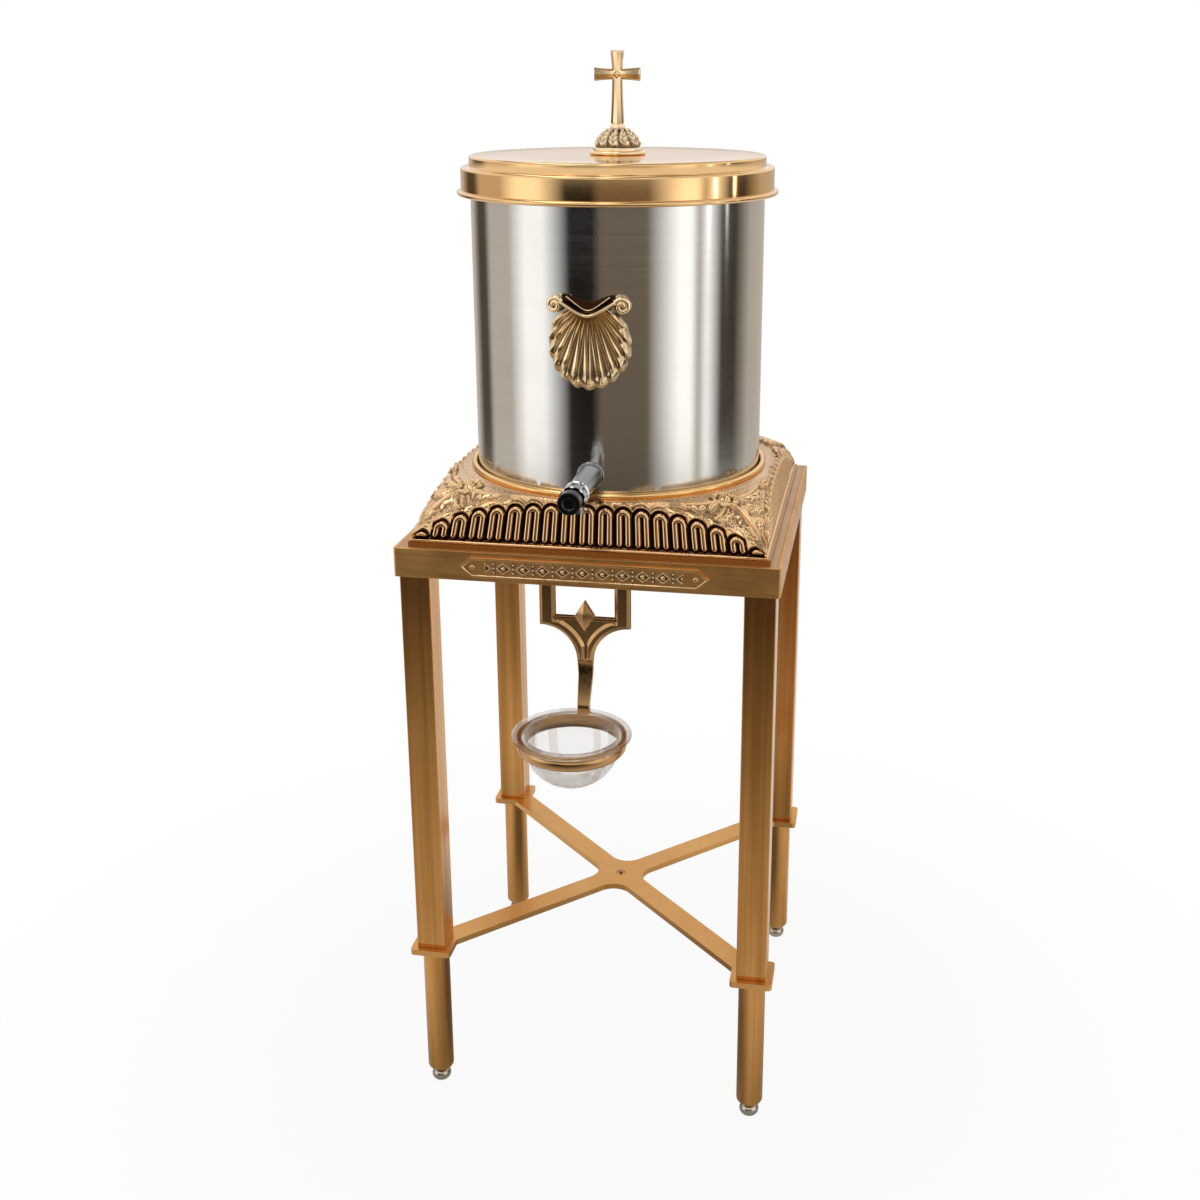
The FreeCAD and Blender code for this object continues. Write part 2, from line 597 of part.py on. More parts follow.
def bracket_fork():
    """Two straps joined by a crossbar and two curved arms that run down into the stem."""
    outer = STRAP_SPACING / 2 + STRAP_WIDTH / 2
    inner = outer - STRAP_WIDTH
    stem = STEM_WIDTH / 2
    top_z = APRON_BOTTOM_Z + STRAP_RISE
    crossbar_z = APRON_BOTTOM_Z - CROSSBAR_DROP
    elbow_z = APRON_BOTTOM_Z - ELBOW_DROP
    stem_z = APRON_BOTTOM_Z - STEM_TOP_DROP
    bend_z = APRON_BOTTOM_Z - STEM_BEND_DROP
    span = outer - stem
    rise = elbow_z - stem_z
    radius = (span * span + rise * rise) / (2 * span)
    centre = stem + radius
    corner_deg = math.degrees(math.atan2(rise, centre - outer))
    fork = front_plate([(-outer, top_z), (-outer, elbow_z), arc(-centre, stem_z, radius, corner_deg, 0),
                        (-stem, bend_z), (stem, bend_z), (stem, stem_z),
                        arc(centre, stem_z, radius, 180, 180 - corner_deg),
                        (outer, top_z), (inner, top_z), (inner, crossbar_z),
                        (-inner, crossbar_z), (-inner, top_z)], BRACKET_FRONT_Y, BRACKET_BACK_Y)
    # Sunk field between the arms
    field_radius = radius + RECESS_BORDER
    field_top = crossbar_z - RECESS_TOP_BORDER
    top_deg = math.degrees(math.asin((field_top - stem_z) / field_radius))
    point_deg = math.degrees(math.acos(centre / field_radius))
    field_left = field_radius * math.cos(math.radians(top_deg)) - centre
    field = front_plate([(field_left, field_top), arc(-centre, stem_z, field_radius, top_deg, point_deg),
                         arc(centre, stem_z, field_radius, 180 - point_deg, 180 - top_deg)],
                        BRACKET_FRONT_Y, BRACKET_FRONT_Y + RECESS_DEPTH)
    return fork.cut(field)


def bracket_diamond():
    """Faceted lozenge that stands in the sunk field and rises above the crossbar."""
    top_z = APRON_BOTTOM_Z - CROSSBAR_DROP + DIAMOND_RISE
    middle_z = top_z - DIAMOND_HEIGHT / 2
    half_width = DIAMOND_WIDTH / 2
    points = [(0, top_z), (half_width, middle_z), (0, top_z - DIAMOND_HEIGHT), (-half_width, middle_z)]
    core = front_plate(points, BRACKET_FRONT_Y, BRACKET_BACK_Y)
    corners = [Vector(x, BRACKET_FRONT_Y, z) for x, z in points]
    return core.fuse(pyramid(corners, Vector(0, BRACKET_FRONT_Y - DIAMOND_RELIEF, middle_z)))


def lug_middle_z():
    return RING_TOP_Z - LUG_DROP - LUG_HEIGHT / 2


def stem_back_y():
    return RING_Y + BOWL_FLANGE_RADIUS + BOWL_STEM_GAP + BRACKET_THICKNESS


def bracket_stem():
    """Lower stem, leaning forward to a lug that meets the back of the ring."""
    bend_z = APRON_BOTTOM_Z - STEM_BEND_DROP
    foot_z = APRON_BOTTOM_Z - STEM_FOOT_DROP
    back_y = stem_back_y()
    front_y = back_y - BRACKET_THICKNESS
    lug_top = RING_TOP_Z - LUG_DROP
    lug_bottom = lug_top - LUG_HEIGHT
    lug_front = RING_Y + RING_INNER
    steps = [(BRACKET_FRONT_Y, bend_z), (front_y, foot_z), (front_y, lug_top), (lug_front, lug_top),
             (lug_front, lug_bottom), (back_y, lug_bottom), (back_y, foot_z), (BRACKET_BACK_Y, bend_z)]
    face = Part.Face(outline(steps, lambda p: Vector(-STEM_WIDTH / 2, p[0], p[1])))
    stem = face.extrude(Vector(STEM_WIDTH, 0, 0))
    return stem.cut(upright_rod(RING_RADIUS, lug_bottom, lug_top, 0, RING_Y))


def drip_bracket():
    bracket = joined([bracket_fork(), bracket_diamond(), bracket_stem()])
    for x in strap_places():
        hole = level_rod(SMALL_SCREW_RADIUS + HOLE_CLEARANCE, BRACKET_FRONT_Y, BRACKET_BACK_Y, x, PLATE_Z)
        bracket = bracket.cut(hole)
    return bracket.cut(ring_rivet_hole())


def bracket_screw(x):
    tip_y = (-TABLE_HALF - RAIL_INNER) / 2
    head = level_rod(SMALL_HEAD_RADIUS, BRACKET_BACK_Y, BRACKET_BACK_Y + SMALL_HEAD_HEIGHT, x, PLATE_Z)
    return head.fuse(level_rod(SMALL_SCREW_RADIUS, tip_y, BRACKET_BACK_Y, x, PLATE_Z))


def ring_rivet_hole():
    return level_rod(RIVET_RADIUS + HOLE_CLEARANCE, RING_Y, stem_back_y(), 0, lug_middle_z())


def drip_ring():
    bottom_z = RING_TOP_Z - RING_HEIGHT
    band_z = bottom_z + RING_TAPER
    ring = turned([(RING_INNER, RING_TOP_Z), (RING_INNER, bottom_z), (RING_RADIUS - RING_TAPER, bottom_z),
                   arc(RING_RADIUS - RING_TAPER, band_z, RING_TAPER, -90, 0), (RING_RADIUS, RING_TOP_Z)])
    ring.translate(Vector(0, RING_Y, 0))
    return ring.cut(ring_rivet_hole())


def drip_ring_rivet():
    """Rivet through the lug and the ring, flush inside the ring."""
    back_y = stem_back_y()
    inner_y = RING_Y + RING_INNER + MOVING_GAP
    head = level_rod(RIVET_HEAD_RADIUS, back_y, back_y + RIVET_HEAD_HEIGHT, 0, lug_middle_z())
    return head.fuse(level_rod(RIVET_RADIUS, inner_y, back_y, 0, lug_middle_z()))


def cap_arc(radius, height, bottom_z, rising):
    """Arc of a round bowl that goes from its bottom on the axis to its edge, or back down."""
    sphere = (radius * radius + height * height) / (2 * height)
    centre_z = bottom_z + sphere
    edge_deg = math.degrees(math.atan2(height - sphere, radius))
    return arc(0, centre_z, sphere, -90, edge_deg) if rising else arc(0, centre_z, sphere, edge_deg, -90)


def glass_bowl():
    outer = RING_INNER - BOWL_CLEARANCE
    inner = outer - BOWL_WALL
    flange_z = RING_TOP_Z + MOVING_GAP
    top_z = flange_z + BOWL_FLANGE_THICKNESS
    bottom_z = top_z - BOWL_DEPTH
    lip = BOWL_FLANGE_THICKNESS / 2
    bowl = turned([(0, bottom_z), cap_arc(outer, flange_z - bottom_z, bottom_z, True),
                   (BOWL_FLANGE_RADIUS - lip, flange_z),
                   arc(BOWL_FLANGE_RADIUS - lip, flange_z + lip, lip, -90, 90),
                   (inner, top_z), (inner, flange_z),
                   cap_arc(inner, flange_z - bottom_z - BOWL_WALL, bottom_z + BOWL_WALL, False)])
    bowl.translate(Vector(0, RING_Y, 0))
    return bowl


# Tank and shell ornament
def tank():
    corner = TANK_FLOOR_RADIUS
    inner = TANK_RADIUS - TANK_WALL
    rim_z = TANK_RIM_Z - TANK_RIM_RADIUS
    rim_centre = inner + TANK_RIM_RADIUS
    wall = turned([(0, TANK_Z), (TANK_RADIUS - corner, TANK_Z),
                   arc(TANK_RADIUS - corner, TANK_Z + corner, corner, -90, 0),
                   (TANK_RADIUS, rim_z), (inner, rim_z), (inner, TANK_Z + corner),
                   arc(TANK_RADIUS - corner, TANK_Z + corner, corner - TANK_WALL, 0, -90),
                   (0, TANK_Z + TANK_WALL)])
    rim = turned([(rim_centre + TANK_RIM_RADIUS, rim_z), arc(rim_centre, rim_z, TANK_RIM_RADIUS, 0, 180),
                  arc(rim_centre, rim_z, TANK_RIM_RADIUS, 180, 360)])
    body = joined([wall, rim])
    body = body.cut(level_rod(SHANK_RADIUS + HOLE_CLEARANCE, -TANK_RADIUS, 0, 0, TAP_Z))
    return body.cut(level_rod(SCREW_RADIUS + HOLE_CLEARANCE, -TANK_RADIUS, 0, 0, SHELL_Z))


def tank_core(radius):
    """Solid cylinder of the tank, for shaping what lies against its wall."""
    return upright_rod(radius, TANK_Z, TANK_RIM_Z)


def wall_rod(radius, proud, x, z):
    """Rod that stands out of the tank wall, before it is trimmed to the wall."""
    return level_rod(radius, -TANK_RADIUS - proud, -TANK_RADIUS / 2, x, z)


def shell_fan():
    """Faceted scallop: ribs and valleys that fan out from the top of a round disc to its edge."""
    apex_z = SHELL_Z + SHELL_DISC_RADIUS

    def spot(line, share, relief):
        turn = math.radians((line - SHELL_RIB_COUNT) * SHELL_RIB_STEP_DEG / 2)
        reach = 2 * SHELL_DISC_RADIUS * math.cos(turn) * share
        x = reach * math.sin(turn)
        surface_y = -math.sqrt(TANK_RADIUS ** 2 - x * x)
        return Vector(x, surface_y - relief, apex_z - reach * math.cos(turn))

    def behind(point):
        return Vector(point.x, -TANK_RADIUS / 2, point.z)

    lines = range(2 * SHELL_RIB_COUNT + 1)
    apex = spot(SHELL_RIB_COUNT, 0, SHELL_APEX_RELIEF)
    crown = [spot(k, SHELL_CROWN_SHARE, SHELL_CROWN_RELIEF + SHELL_RIB_RELIEF * (k % 2)) for k in lines]
    rim = [spot(k, 1 + SHELL_SCALLOP * (k % 2), SHELL_RIM_RELIEF + SHELL_RIB_RELIEF * (k % 2)) for k in lines]
    rings = [[behind(apex)] + [behind(point) for point in rim]]
    for k in lines[:-1]:
        rings += [[apex, crown[k], crown[k + 1]], [crown[k], rim[k], rim[k + 1]],
                  [crown[k], rim[k + 1], crown[k + 1]],
                  [rim[k], behind(rim[k]), behind(rim[k + 1]), rim[k + 1]]]
    for end in (0, -1):
        rings.append([apex, crown[end], rim[end], behind(rim[end]), behind(apex)])
    return Part.Solid(Part.Shell([Part.Face(Part.makePolygon(ring + ring[:1])) for ring in rings]))


def shell_band():
    """Dipping band over the ribs, which ends in a scroll at each side."""
    reach = VOLUTE_SPACING / 2
    scroll_z = SHELL_Z + VOLUTE_RISE
    top_z = scroll_z + VOLUTE_RADIUS
    low_z = top_z - SHELL_BAND_HEIGHT
    band = front_plate([(-reach, top_z), ((0, top_z - SHELL_BAND_DIP), (reach, top_z)), (reach, low_z),
                        ((0, low_z - SHELL_BAND_DIP), (-reach, low_z))],
                       -TANK_RADIUS - SHELL_BAND_PROUD, -TANK_RADIUS / 2)
    scrolls = [wall_rod(VOLUTE_RADIUS, SHELL_BAND_PROUD, x, scroll_z) for x in (-reach, reach)]
    return [band] + scrolls


def shell_ornament():
    shell = joined([shell_fan()] + shell_band()).cut(tank_core(TANK_RADIUS))
    return shell.cut(shell_stud(HOLE_CLEARANCE))


def shell_stud(clearance=0.0):
    inner_y = SHELL_STUD_LENGTH - TANK_RADIUS
    return level_rod(SCREW_RADIUS + clearance, -TANK_RADIUS - SHELL_STUD_INSET, inner_y, 0, SHELL_Z)


def wall_washer(radius, hole, thickness, z):
    """Soft washer that follows the inside of the tank wall."""
    inner = TANK_RADIUS - TANK_WALL
    washer = level_rod(radius, -inner - thickness, thickness - inner, 0, z)
    return washer.common(tank_core(inner)).cut(level_rod(hole + HOLE_CLEARANCE, -TANK_RADIUS, 0, 0, z))


def wall_nut(radius, hole, thickness, washer_thickness, z):
    """Hexagonal nut that clamps a washer to the inside of the tank wall."""
    nut = hex_prism(radius, thickness)
    nut.rotate(Vector(0, 0, 0), Vector(1, 0, 0), -90)
    nut.translate(Vector(0, washer_thickness - TANK_RADIUS + TANK_WALL, z))
    return nut.cut(level_rod(hole + HOLE_CLEARANCE, -TANK_RADIUS, 0, 0, z))


# Tap
def tap_outer_gasket():
    gasket = tap_tube(GASKET_RADIUS, SHANK_RADIUS + HOLE_CLEARANCE, -GASKET_THICKNESS, GASKET_THICKNESS)
    return gasket.cut(tank_core(TANK_RADIUS))


def tap_body():
    """Threaded shank, tapered barrel and a short spout turned down."""
    barrel_end = GASKET_THICKNESS + BARREL_LENGTH
    socket = BONNET_SPIGOT_RADIUS + HOLE_CLEARANCE
    socket_start = barrel_end - BONNET_SPIGOT_LENGTH
    seat_end = SEAT_THICKNESS - SHANK_REACH
    spout_y = -TANK_RADIUS - barrel_end + SPOUT_SETBACK
    spout_z = TAP_Z - SPOUT_DROP
    body = tap_turned([(0, -SHANK_REACH), (SHANK_RADIUS, -SHANK_REACH), (SHANK_RADIUS, GASKET_THICKNESS),
                       (BARREL_BACK_RADIUS, GASKET_THICKNESS), (BARREL_FRONT_RADIUS, barrel_end),
                       (0, barrel_end)])
    body = body.fuse(upright_rod(SPOUT_RADIUS, spout_z, TAP_Z, 0, spout_y))
    body = body.cut(upright_rod(SPOUT_RADIUS - SPOUT_WALL, spout_z, TAP_Z, 0, spout_y))
    bore = tap_turned([(0, -SHANK_REACH), (SEAT_BORE_RADIUS, -SHANK_REACH), (SEAT_BORE_RADIUS, seat_end),
                       (BARREL_BORE_RADIUS, seat_end), (BARREL_BORE_RADIUS, socket_start),
                       (socket, socket_start), (socket, barrel_end), (0, barrel_end)])
    return body.cut(bore)


def seal_pocket_radius():
    return STEM_RADIUS + RUNNING_CLEARANCE + 2 * SEAL_SECTION_RADIUS + HOLE_CLEARANCE


def spigot_start():
    return GASKET_THICKNESS + BARREL_LENGTH - BONNET_SPIGOT_LENGTH


def tap_bonnet():
    """Lobed collar that screws into the barrel and guides the stem."""
    barrel_end = GASKET_THICKNESS + BARREL_LENGTH
    start = spigot_start()
    stem_hole = STEM_RADIUS + RUNNING_CLEARANCE
    pocket = seal_pocket_radius()
    pocket_end = start + SEAL_POCKET_DEPTH
    spring_start = NOSE_END - SPRING_POCKET_DEPTH
    bonnet = tap_turned([(pocket, start), (BONNET_SPIGOT_RADIUS, start), (BONNET_SPIGOT_RADIUS, barrel_end),
                         (BONNET_RADIUS, barrel_end), (BONNET_RADIUS, BONNET_FRONT),
                         (NOSE_RADIUS, BONNET_FRONT), (NOSE_RADIUS, NOSE_END),
                         (SPRING_POCKET_RADIUS, NOSE_END),
                         (SPRING_POCKET_RADIUS, spring_start), (stem_hole, spring_start),
                         (stem_hole, pocket_end), (pocket, pocket_end)])
    lobe_ring = BONNET_RADIUS + BONNET_LOBE_RADIUS / 2
    for k in range(BONNET_LOBES):
        turn = 2 * math.pi * k / BONNET_LOBES
        hollow = level_rod(BONNET_LOBE_RADIUS, -TANK_RADIUS - BONNET_FRONT, -TANK_RADIUS - barrel_end,
                           lobe_ring * math.cos(turn), TAP_Z + lobe_ring * math.sin(turn))
        bonnet = bonnet.cut(hollow)
    return bonnet


def tap_stem_seal():
    centre = STEM_RADIUS + RUNNING_CLEARANCE + SEAL_SECTION_RADIUS
    middle = spigot_start() + SEAL_POCKET_DEPTH - SEAL_SECTION_RADIUS
    return tap_turned([(centre + SEAL_SECTION_RADIUS, middle),
                       arc(centre, middle, SEAL_SECTION_RADIUS, 0, 180),
                       arc(centre, middle, SEAL_SECTION_RADIUS, 180, 360)])


def helix_path(radius, start, length, turns):
    """Coil along Z made of tangent arcs, two for each quarter turn."""
    climb = length / (2 * math.pi * turns)

    def place(turn):
        return Vector(radius * math.cos(turn), radius * math.sin(turn), start + climb * turn)

    def heading(turn):
        ahead = Vector(-radius * math.sin(turn), radius * math.cos(turn), climb)
        return ahead / ahead.Length

    def tangent_arc(first, corner, last):
        middle = (first + last) / 2
        half_chord = (last - first).Length / 2
        out = corner - middle
        bulge = half_chord * math.tan(math.atan2(out.Length, half_chord) / 2)
        return Part.Arc(first, middle + out / out.Length * bulge, last).toShape()

    edges = []
    for quarter in range(4 * turns):
        t0, t1 = quarter * math.pi / 2, (quarter + 1) * math.pi / 2
        p0, p1, d0, d1 = place(t0), place(t1), heading(t0), heading(t1)
        gap, lean = p1 - p0, d0 + d1
        square_term = 4 - lean.dot(lean)
        linear_term = 2 * gap.dot(lean)
        root = math.sqrt(linear_term ** 2 + 4 * square_term * gap.dot(gap))
        reach = (root - linear_term) / (2 * square_term)
        q0, q1 = p0 + d0 * reach, p1 - d1 * reach
        joint = (q0 + q1) / 2
        edges += [tangent_arc(p0, q0, joint), tangent_arc(joint, q1, p1)]
    return Part.Wire(edges), place(0), heading(0)


def return_spring():
    start = NOSE_END - SPRING_POCKET_DEPTH + SPRING_WIRE_RADIUS + MOVING_GAP
    end = BUTTON_INNER_FACE - SPRING_WIRE_RADIUS - MOVING_GAP
    path, first, ahead = helix_path(SPRING_COIL_RADIUS, start, end - start, SPRING_TURNS)
    spring = path.makePipeShell([Part.Wire(Part.makeCircle(SPRING_WIRE_RADIUS, first, ahead))], True, False)
    spring.rotate(Vector(0, 0, 0), Vector(1, 0, 0), 90)
    spring.translate(Vector(0, -TANK_RADIUS, TAP_Z))
    return spring


def push_button():
    """Cup that slides over the bonnet's nose, with a dished face and a socket for the stem."""
    skirt = NOSE_RADIUS + BUTTON_CLEARANCE
    rear = BONNET_FRONT + BUTTON_TRAVEL + BUTTON_STOP_GAP
    edge = BUTTON_FACE / 2
    dish = BUTTON_FRONT - BUTTON_DISH_DEPTH
    socket_rear = BUTTON_INNER_FACE - BUTTON_FACE
    socket_radius = SPRING_COIL_RADIUS - 2 * SPRING_WIRE_RADIUS
    button = tap_turned([(0, BUTTON_INNER_FACE), (skirt, BUTTON_INNER_FACE), (skirt, rear),
                         (BUTTON_RADIUS, rear), (BUTTON_RADIUS, BUTTON_FRONT - edge),
                         arc(BUTTON_RADIUS - edge, BUTTON_FRONT - edge, edge, 0, 90),
                         (BUTTON_DISH_RADIUS, BUTTON_FRONT),
                         (BUTTON_DISH_RADIUS - BUTTON_DISH_DEPTH, dish), (0, dish)])
    return joined([button, tap_tube(socket_radius, STEM_RADIUS, socket_rear, BUTTON_INNER_FACE)])


def disc_face():
    return -SHANK_REACH - MOVING_GAP


def valve_stem():
    end = disc_face() - DISC_THICKNESS - DISC_NUT_THICKNESS
    return tap_turned([(0, end), (STEM_TENON_RADIUS, end), (STEM_TENON_RADIUS, disc_face()),
                       (STEM_RADIUS, disc_face()), (STEM_RADIUS, BUTTON_INNER_FACE), (0, BUTTON_INNER_FACE)])


def valve_disc():
    return tap_tube(DISC_RADIUS, STEM_TENON_RADIUS, disc_face() - DISC_THICKNESS, disc_face())


def valve_disc_nut():
    end = disc_face() - DISC_THICKNESS
    return tap_tube(DISC_NUT_RADIUS, STEM_TENON_RADIUS, end - DISC_NUT_THICKNESS, end)


# Lid and finial
def lid_cover():
    """Stepped sheet lid with a rolled bead round the foot of its skirt."""
    tier = LID_SKIRT_OUTER - LID_STEP_WIDTH
    tier_corner = LID_TIER_CORNER
    skirt_x = LID_SKIRT_OUTER - LID_SKIRT_CORNER
    skirt_z = LID_STEP_Z - LID_SKIRT_CORNER
    sheet = LID_SHEET
    cover = turned([(LID_SKIRT_OUTER, LID_BEAD_Z), (LID_SKIRT_OUTER, skirt_z),
                    arc(skirt_x, skirt_z, LID_SKIRT_CORNER, 0, 90),
                    (tier, LID_STEP_Z), (tier, LID_TOP_Z - tier_corner),
                    arc(tier - tier_corner, LID_TOP_Z - tier_corner, tier_corner, 0, 90),
                    (0, LID_TOP_Z), (0, LID_TOP_Z - sheet), (tier - tier_corner, LID_TOP_Z - sheet),
                    arc(tier - tier_corner, LID_TOP_Z - tier_corner, tier_corner - sheet, 90, 0),
                    (tier - sheet, LID_STEP_Z - sheet), (skirt_x, LID_STEP_Z - sheet),
                    arc(skirt_x, skirt_z, LID_SKIRT_CORNER - sheet, 90, 0),
                    (LID_SKIRT_INNER, LID_BEAD_Z)])
    bead_centre = LID_SKIRT_OUTER + LID_BEAD_OVERHANG - LID_BEAD_RADIUS
    bead = turned([(bead_centre + LID_BEAD_RADIUS, LID_BEAD_Z),
                   arc(bead_centre, LID_BEAD_Z, LID_BEAD_RADIUS, 0, 180),
                   arc(bead_centre, LID_BEAD_Z, LID_BEAD_RADIUS, 180, 360)])
    hole = upright_rod(SCREW_RADIUS + HOLE_CLEARANCE, LID_TOP_Z - sheet, LID_TOP_Z)
    return joined([cover, bead]).cut(hole)


def finial_dome():
    """Domed boss on a round flange, bored for the screw below and the cross above."""
    flange_edge = FINIAL_FLANGE_HEIGHT / 2
    dome_top = DOME_Z + FINIAL_DOME_HEIGHT
    sphere = (FINIAL_DOME_RADIUS ** 2 + FINIAL_DOME_HEIGHT ** 2) / (2 * FINIAL_DOME_HEIGHT)
    centre_z = dome_top - sphere
    foot_deg = math.degrees(math.atan2(DOME_Z - centre_z, FINIAL_DOME_RADIUS))
    seat_deg = math.degrees(math.acos(FINIAL_SEAT_RADIUS / sphere))
    hole = SCREW_RADIUS + HOLE_CLEARANCE
    dome = turned([(0, LID_TOP_Z), (FINIAL_FLANGE_RADIUS - flange_edge, LID_TOP_Z),
                   arc(FINIAL_FLANGE_RADIUS - flange_edge, LID_TOP_Z + flange_edge, flange_edge, -90, 90),
                   (FINIAL_DOME_RADIUS, DOME_Z), arc(0, centre_z, sphere, foot_deg, seat_deg),
                   (FINIAL_SEAT_RADIUS, SEAT_TOP_Z), (0, SEAT_TOP_Z)])
    dome = dome.cut(upright_rod(hole, LID_TOP_Z, LID_TOP_Z + SCREW_GRIP))
    return dome.cut(upright_rod(hole, SEAT_TOP_Z - CROSS_TENON_LENGTH, SEAT_TOP_Z))


def cross_arm(length, turn_deg):
    """Ridged arm that widens outward from the crossing."""
    def section(width, z):
        half, edge, ridge = width / 2, CROSS_EDGE_DEPTH / 2, CROSS_DEPTH / 2
        corners = [Vector(-half, -edge, z), Vector(0, -ridge, z), Vector(half, -edge, z),
                   Vector(half, edge, z), Vector(0, ridge, z), Vector(-half, edge, z)]
        return Part.makePolygon(corners + corners[:1])
    arm = Part.makeLoft([section(CROSS_NECK_WIDTH, 0), section(CROSS_END_WIDTH, length)], True, True)
    arm.rotate(Vector(0, 0, 0), Vector(0, 1, 0), turn_deg)
    arm.translate(Vector(0, 0, CROSSING_Z))
    return arm


def finial_cross():
    side = CROSS_SPAN / 2
    arms = [cross_arm(CROSS_ARM_DROP, 0), cross_arm(side, 90),
            cross_arm(CROSS_HEIGHT - CROSS_ARM_DROP, 180), cross_arm(side, 270)]
    tenon = upright_rod(SCREW_RADIUS, SEAT_TOP_Z - CROSS_TENON_LENGTH, SEAT_TOP_Z)
    return joined(arms + [tenon])


def finial_screw():
    head_z = LID_TOP_Z - LID_SHEET
    head = upright_rod(SCREW_HEAD_RADIUS, head_z - SCREW_HEAD_HEIGHT, head_z)
    return head.fuse(upright_rod(SCREW_RADIUS, head_z, LID_TOP_Z + SCREW_GRIP - MOVING_GAP))


def build_pieces():
    lap_z = (PAD_TOP_Z + PAD_UNDER_Z) / 2
    legs = leg_places()
    top_plug_z = SHEET_UNDER_Z - PLUG_HEIGHT
    pieces = {"table_top": table_top(), **apron_rails()}
    for name, (sx, sy) in CORNERS.items():
        x, y = LEG_CENTRE * sx, LEG_CENTRE * sy
        pieces["leg_" + name] = leg_tube(x, y)
        pieces["lower_leg_" + name] = lower_leg(x, y)
        pieces["foot_" + name] = levelling_foot(x, y)
    pieces["leg_top_plugs"] = group([leg_plug(top_plug_z, SCREW_RADIUS, x, y) for x, y in legs])
    pieces["leg_top_screws"] = group([leg_top_screw(x, y) for x, y in legs])
    pieces["leg_bottom_plugs"] = group([leg_plug(PAD_TOP_Z, LEG_STUD_RADIUS, x, y) for x, y in legs])
    pieces["leg_studs"] = group([leg_stud(x, y) for x, y in legs])
    pieces["stretcher_bar_lower"] = stretcher_bar(45, PAD_UNDER_Z, lap_z)
    pieces["stretcher_bar_upper"] = stretcher_bar(135, lap_z, PAD_TOP_Z)
    pieces["stretcher_screw"] = stretcher_screw()
    pieces["stretcher_nut"] = stretcher_nut()
    pieces["nameplate"] = nameplate()
    pieces["nameplate_rivets"] = group([nameplate_rivet(x) for x in plate_rivet_places()])
    pieces["base_plate"] = base_plate()
    pieces["embossed_base"] = embossed_base()
    pieces["base_screws"] = group([base_screw(x, y) for x, y in base_screw_places()])
    pieces["collar_ring"] = collar_ring()
    pieces["drip_bracket"] = drip_bracket()
    pieces["bracket_screws"] = group([bracket_screw(x) for x in strap_places()])
    pieces["drip_ring"] = drip_ring()
    pieces["drip_ring_rivet"] = drip_ring_rivet()
    pieces["glass_bowl"] = glass_bowl()
    pieces["tank"] = tank()
    pieces["shell_ornament"] = shell_ornament()
    pieces["shell_stud"] = shell_stud()
    pieces["shell_washer"] = wall_washer(NUT_RADIUS, SCREW_RADIUS, GASKET_THICKNESS, SHELL_Z)
    pieces["shell_nut"] = wall_nut(NUT_RADIUS, SCREW_RADIUS, NUT_THICKNESS, GASKET_THICKNESS, SHELL_Z)
    pieces["tap_body"] = tap_body()
    pieces["tap_outer_gasket"] = tap_outer_gasket()
    pieces["tap_inner_gasket"] = wall_washer(GASKET_RADIUS, SHANK_RADIUS, GASKET_THICKNESS, TAP_Z)
    pieces["tap_lock_nut"] = wall_nut(LOCK_NUT_RADIUS, SHANK_RADIUS, LOCK_NUT_THICKNESS,
                                      GASKET_THICKNESS, TAP_Z)
    pieces["tap_bonnet"] = tap_bonnet()
    pieces["tap_stem_seal"] = tap_stem_seal()
    pieces["return_spring"] = return_spring()
    pieces["push_button"] = push_button()
    pieces["valve_stem"] = valve_stem()
    pieces["valve_disc"] = valve_disc()
    pieces["valve_disc_nut"] = valve_disc_nut()
    pieces["lid_cover"] = lid_cover()
    pieces["finial_dome"] = finial_dome()
    pieces["finial_cross"] = finial_cross()
    pieces["finial_screw"] = finial_screw()
    return pieces


os.makedirs("parts", exist_ok=True)
for node, shape in build_pieces().items():
    shape.translate(Vector(0, ORIGIN_SHIFT_Y, 0))
    shape.exportStep("parts/" + node + ".step")
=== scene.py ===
import math

import bmesh
import bpy
import numpy as np
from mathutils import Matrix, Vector


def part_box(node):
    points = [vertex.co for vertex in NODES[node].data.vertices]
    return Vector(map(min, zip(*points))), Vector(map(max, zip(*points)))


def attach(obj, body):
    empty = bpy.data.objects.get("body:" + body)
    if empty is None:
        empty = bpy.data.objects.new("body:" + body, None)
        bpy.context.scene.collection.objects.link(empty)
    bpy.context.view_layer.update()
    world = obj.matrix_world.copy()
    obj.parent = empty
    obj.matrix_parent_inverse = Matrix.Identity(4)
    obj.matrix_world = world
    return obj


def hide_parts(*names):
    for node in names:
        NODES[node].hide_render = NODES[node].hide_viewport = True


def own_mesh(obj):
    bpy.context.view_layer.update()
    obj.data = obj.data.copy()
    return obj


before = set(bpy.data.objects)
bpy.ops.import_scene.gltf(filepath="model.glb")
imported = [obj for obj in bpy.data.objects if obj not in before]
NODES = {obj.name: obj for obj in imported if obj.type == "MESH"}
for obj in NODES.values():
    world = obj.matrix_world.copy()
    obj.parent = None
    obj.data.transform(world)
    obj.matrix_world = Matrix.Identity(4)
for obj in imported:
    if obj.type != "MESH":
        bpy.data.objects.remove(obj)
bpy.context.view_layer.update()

# Shapes below are laid out in millimetres from the tank's axis, as the solids are.
MM = 0.001
AXIS_Y = sum(corner.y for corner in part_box("collar_ring")) / 2


def span(node):
    """Lowest and highest corner of a CAD node, in millimetres from the tank's axis."""
    return [(corner - Vector((0, AXIS_Y, 0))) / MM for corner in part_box(node)]


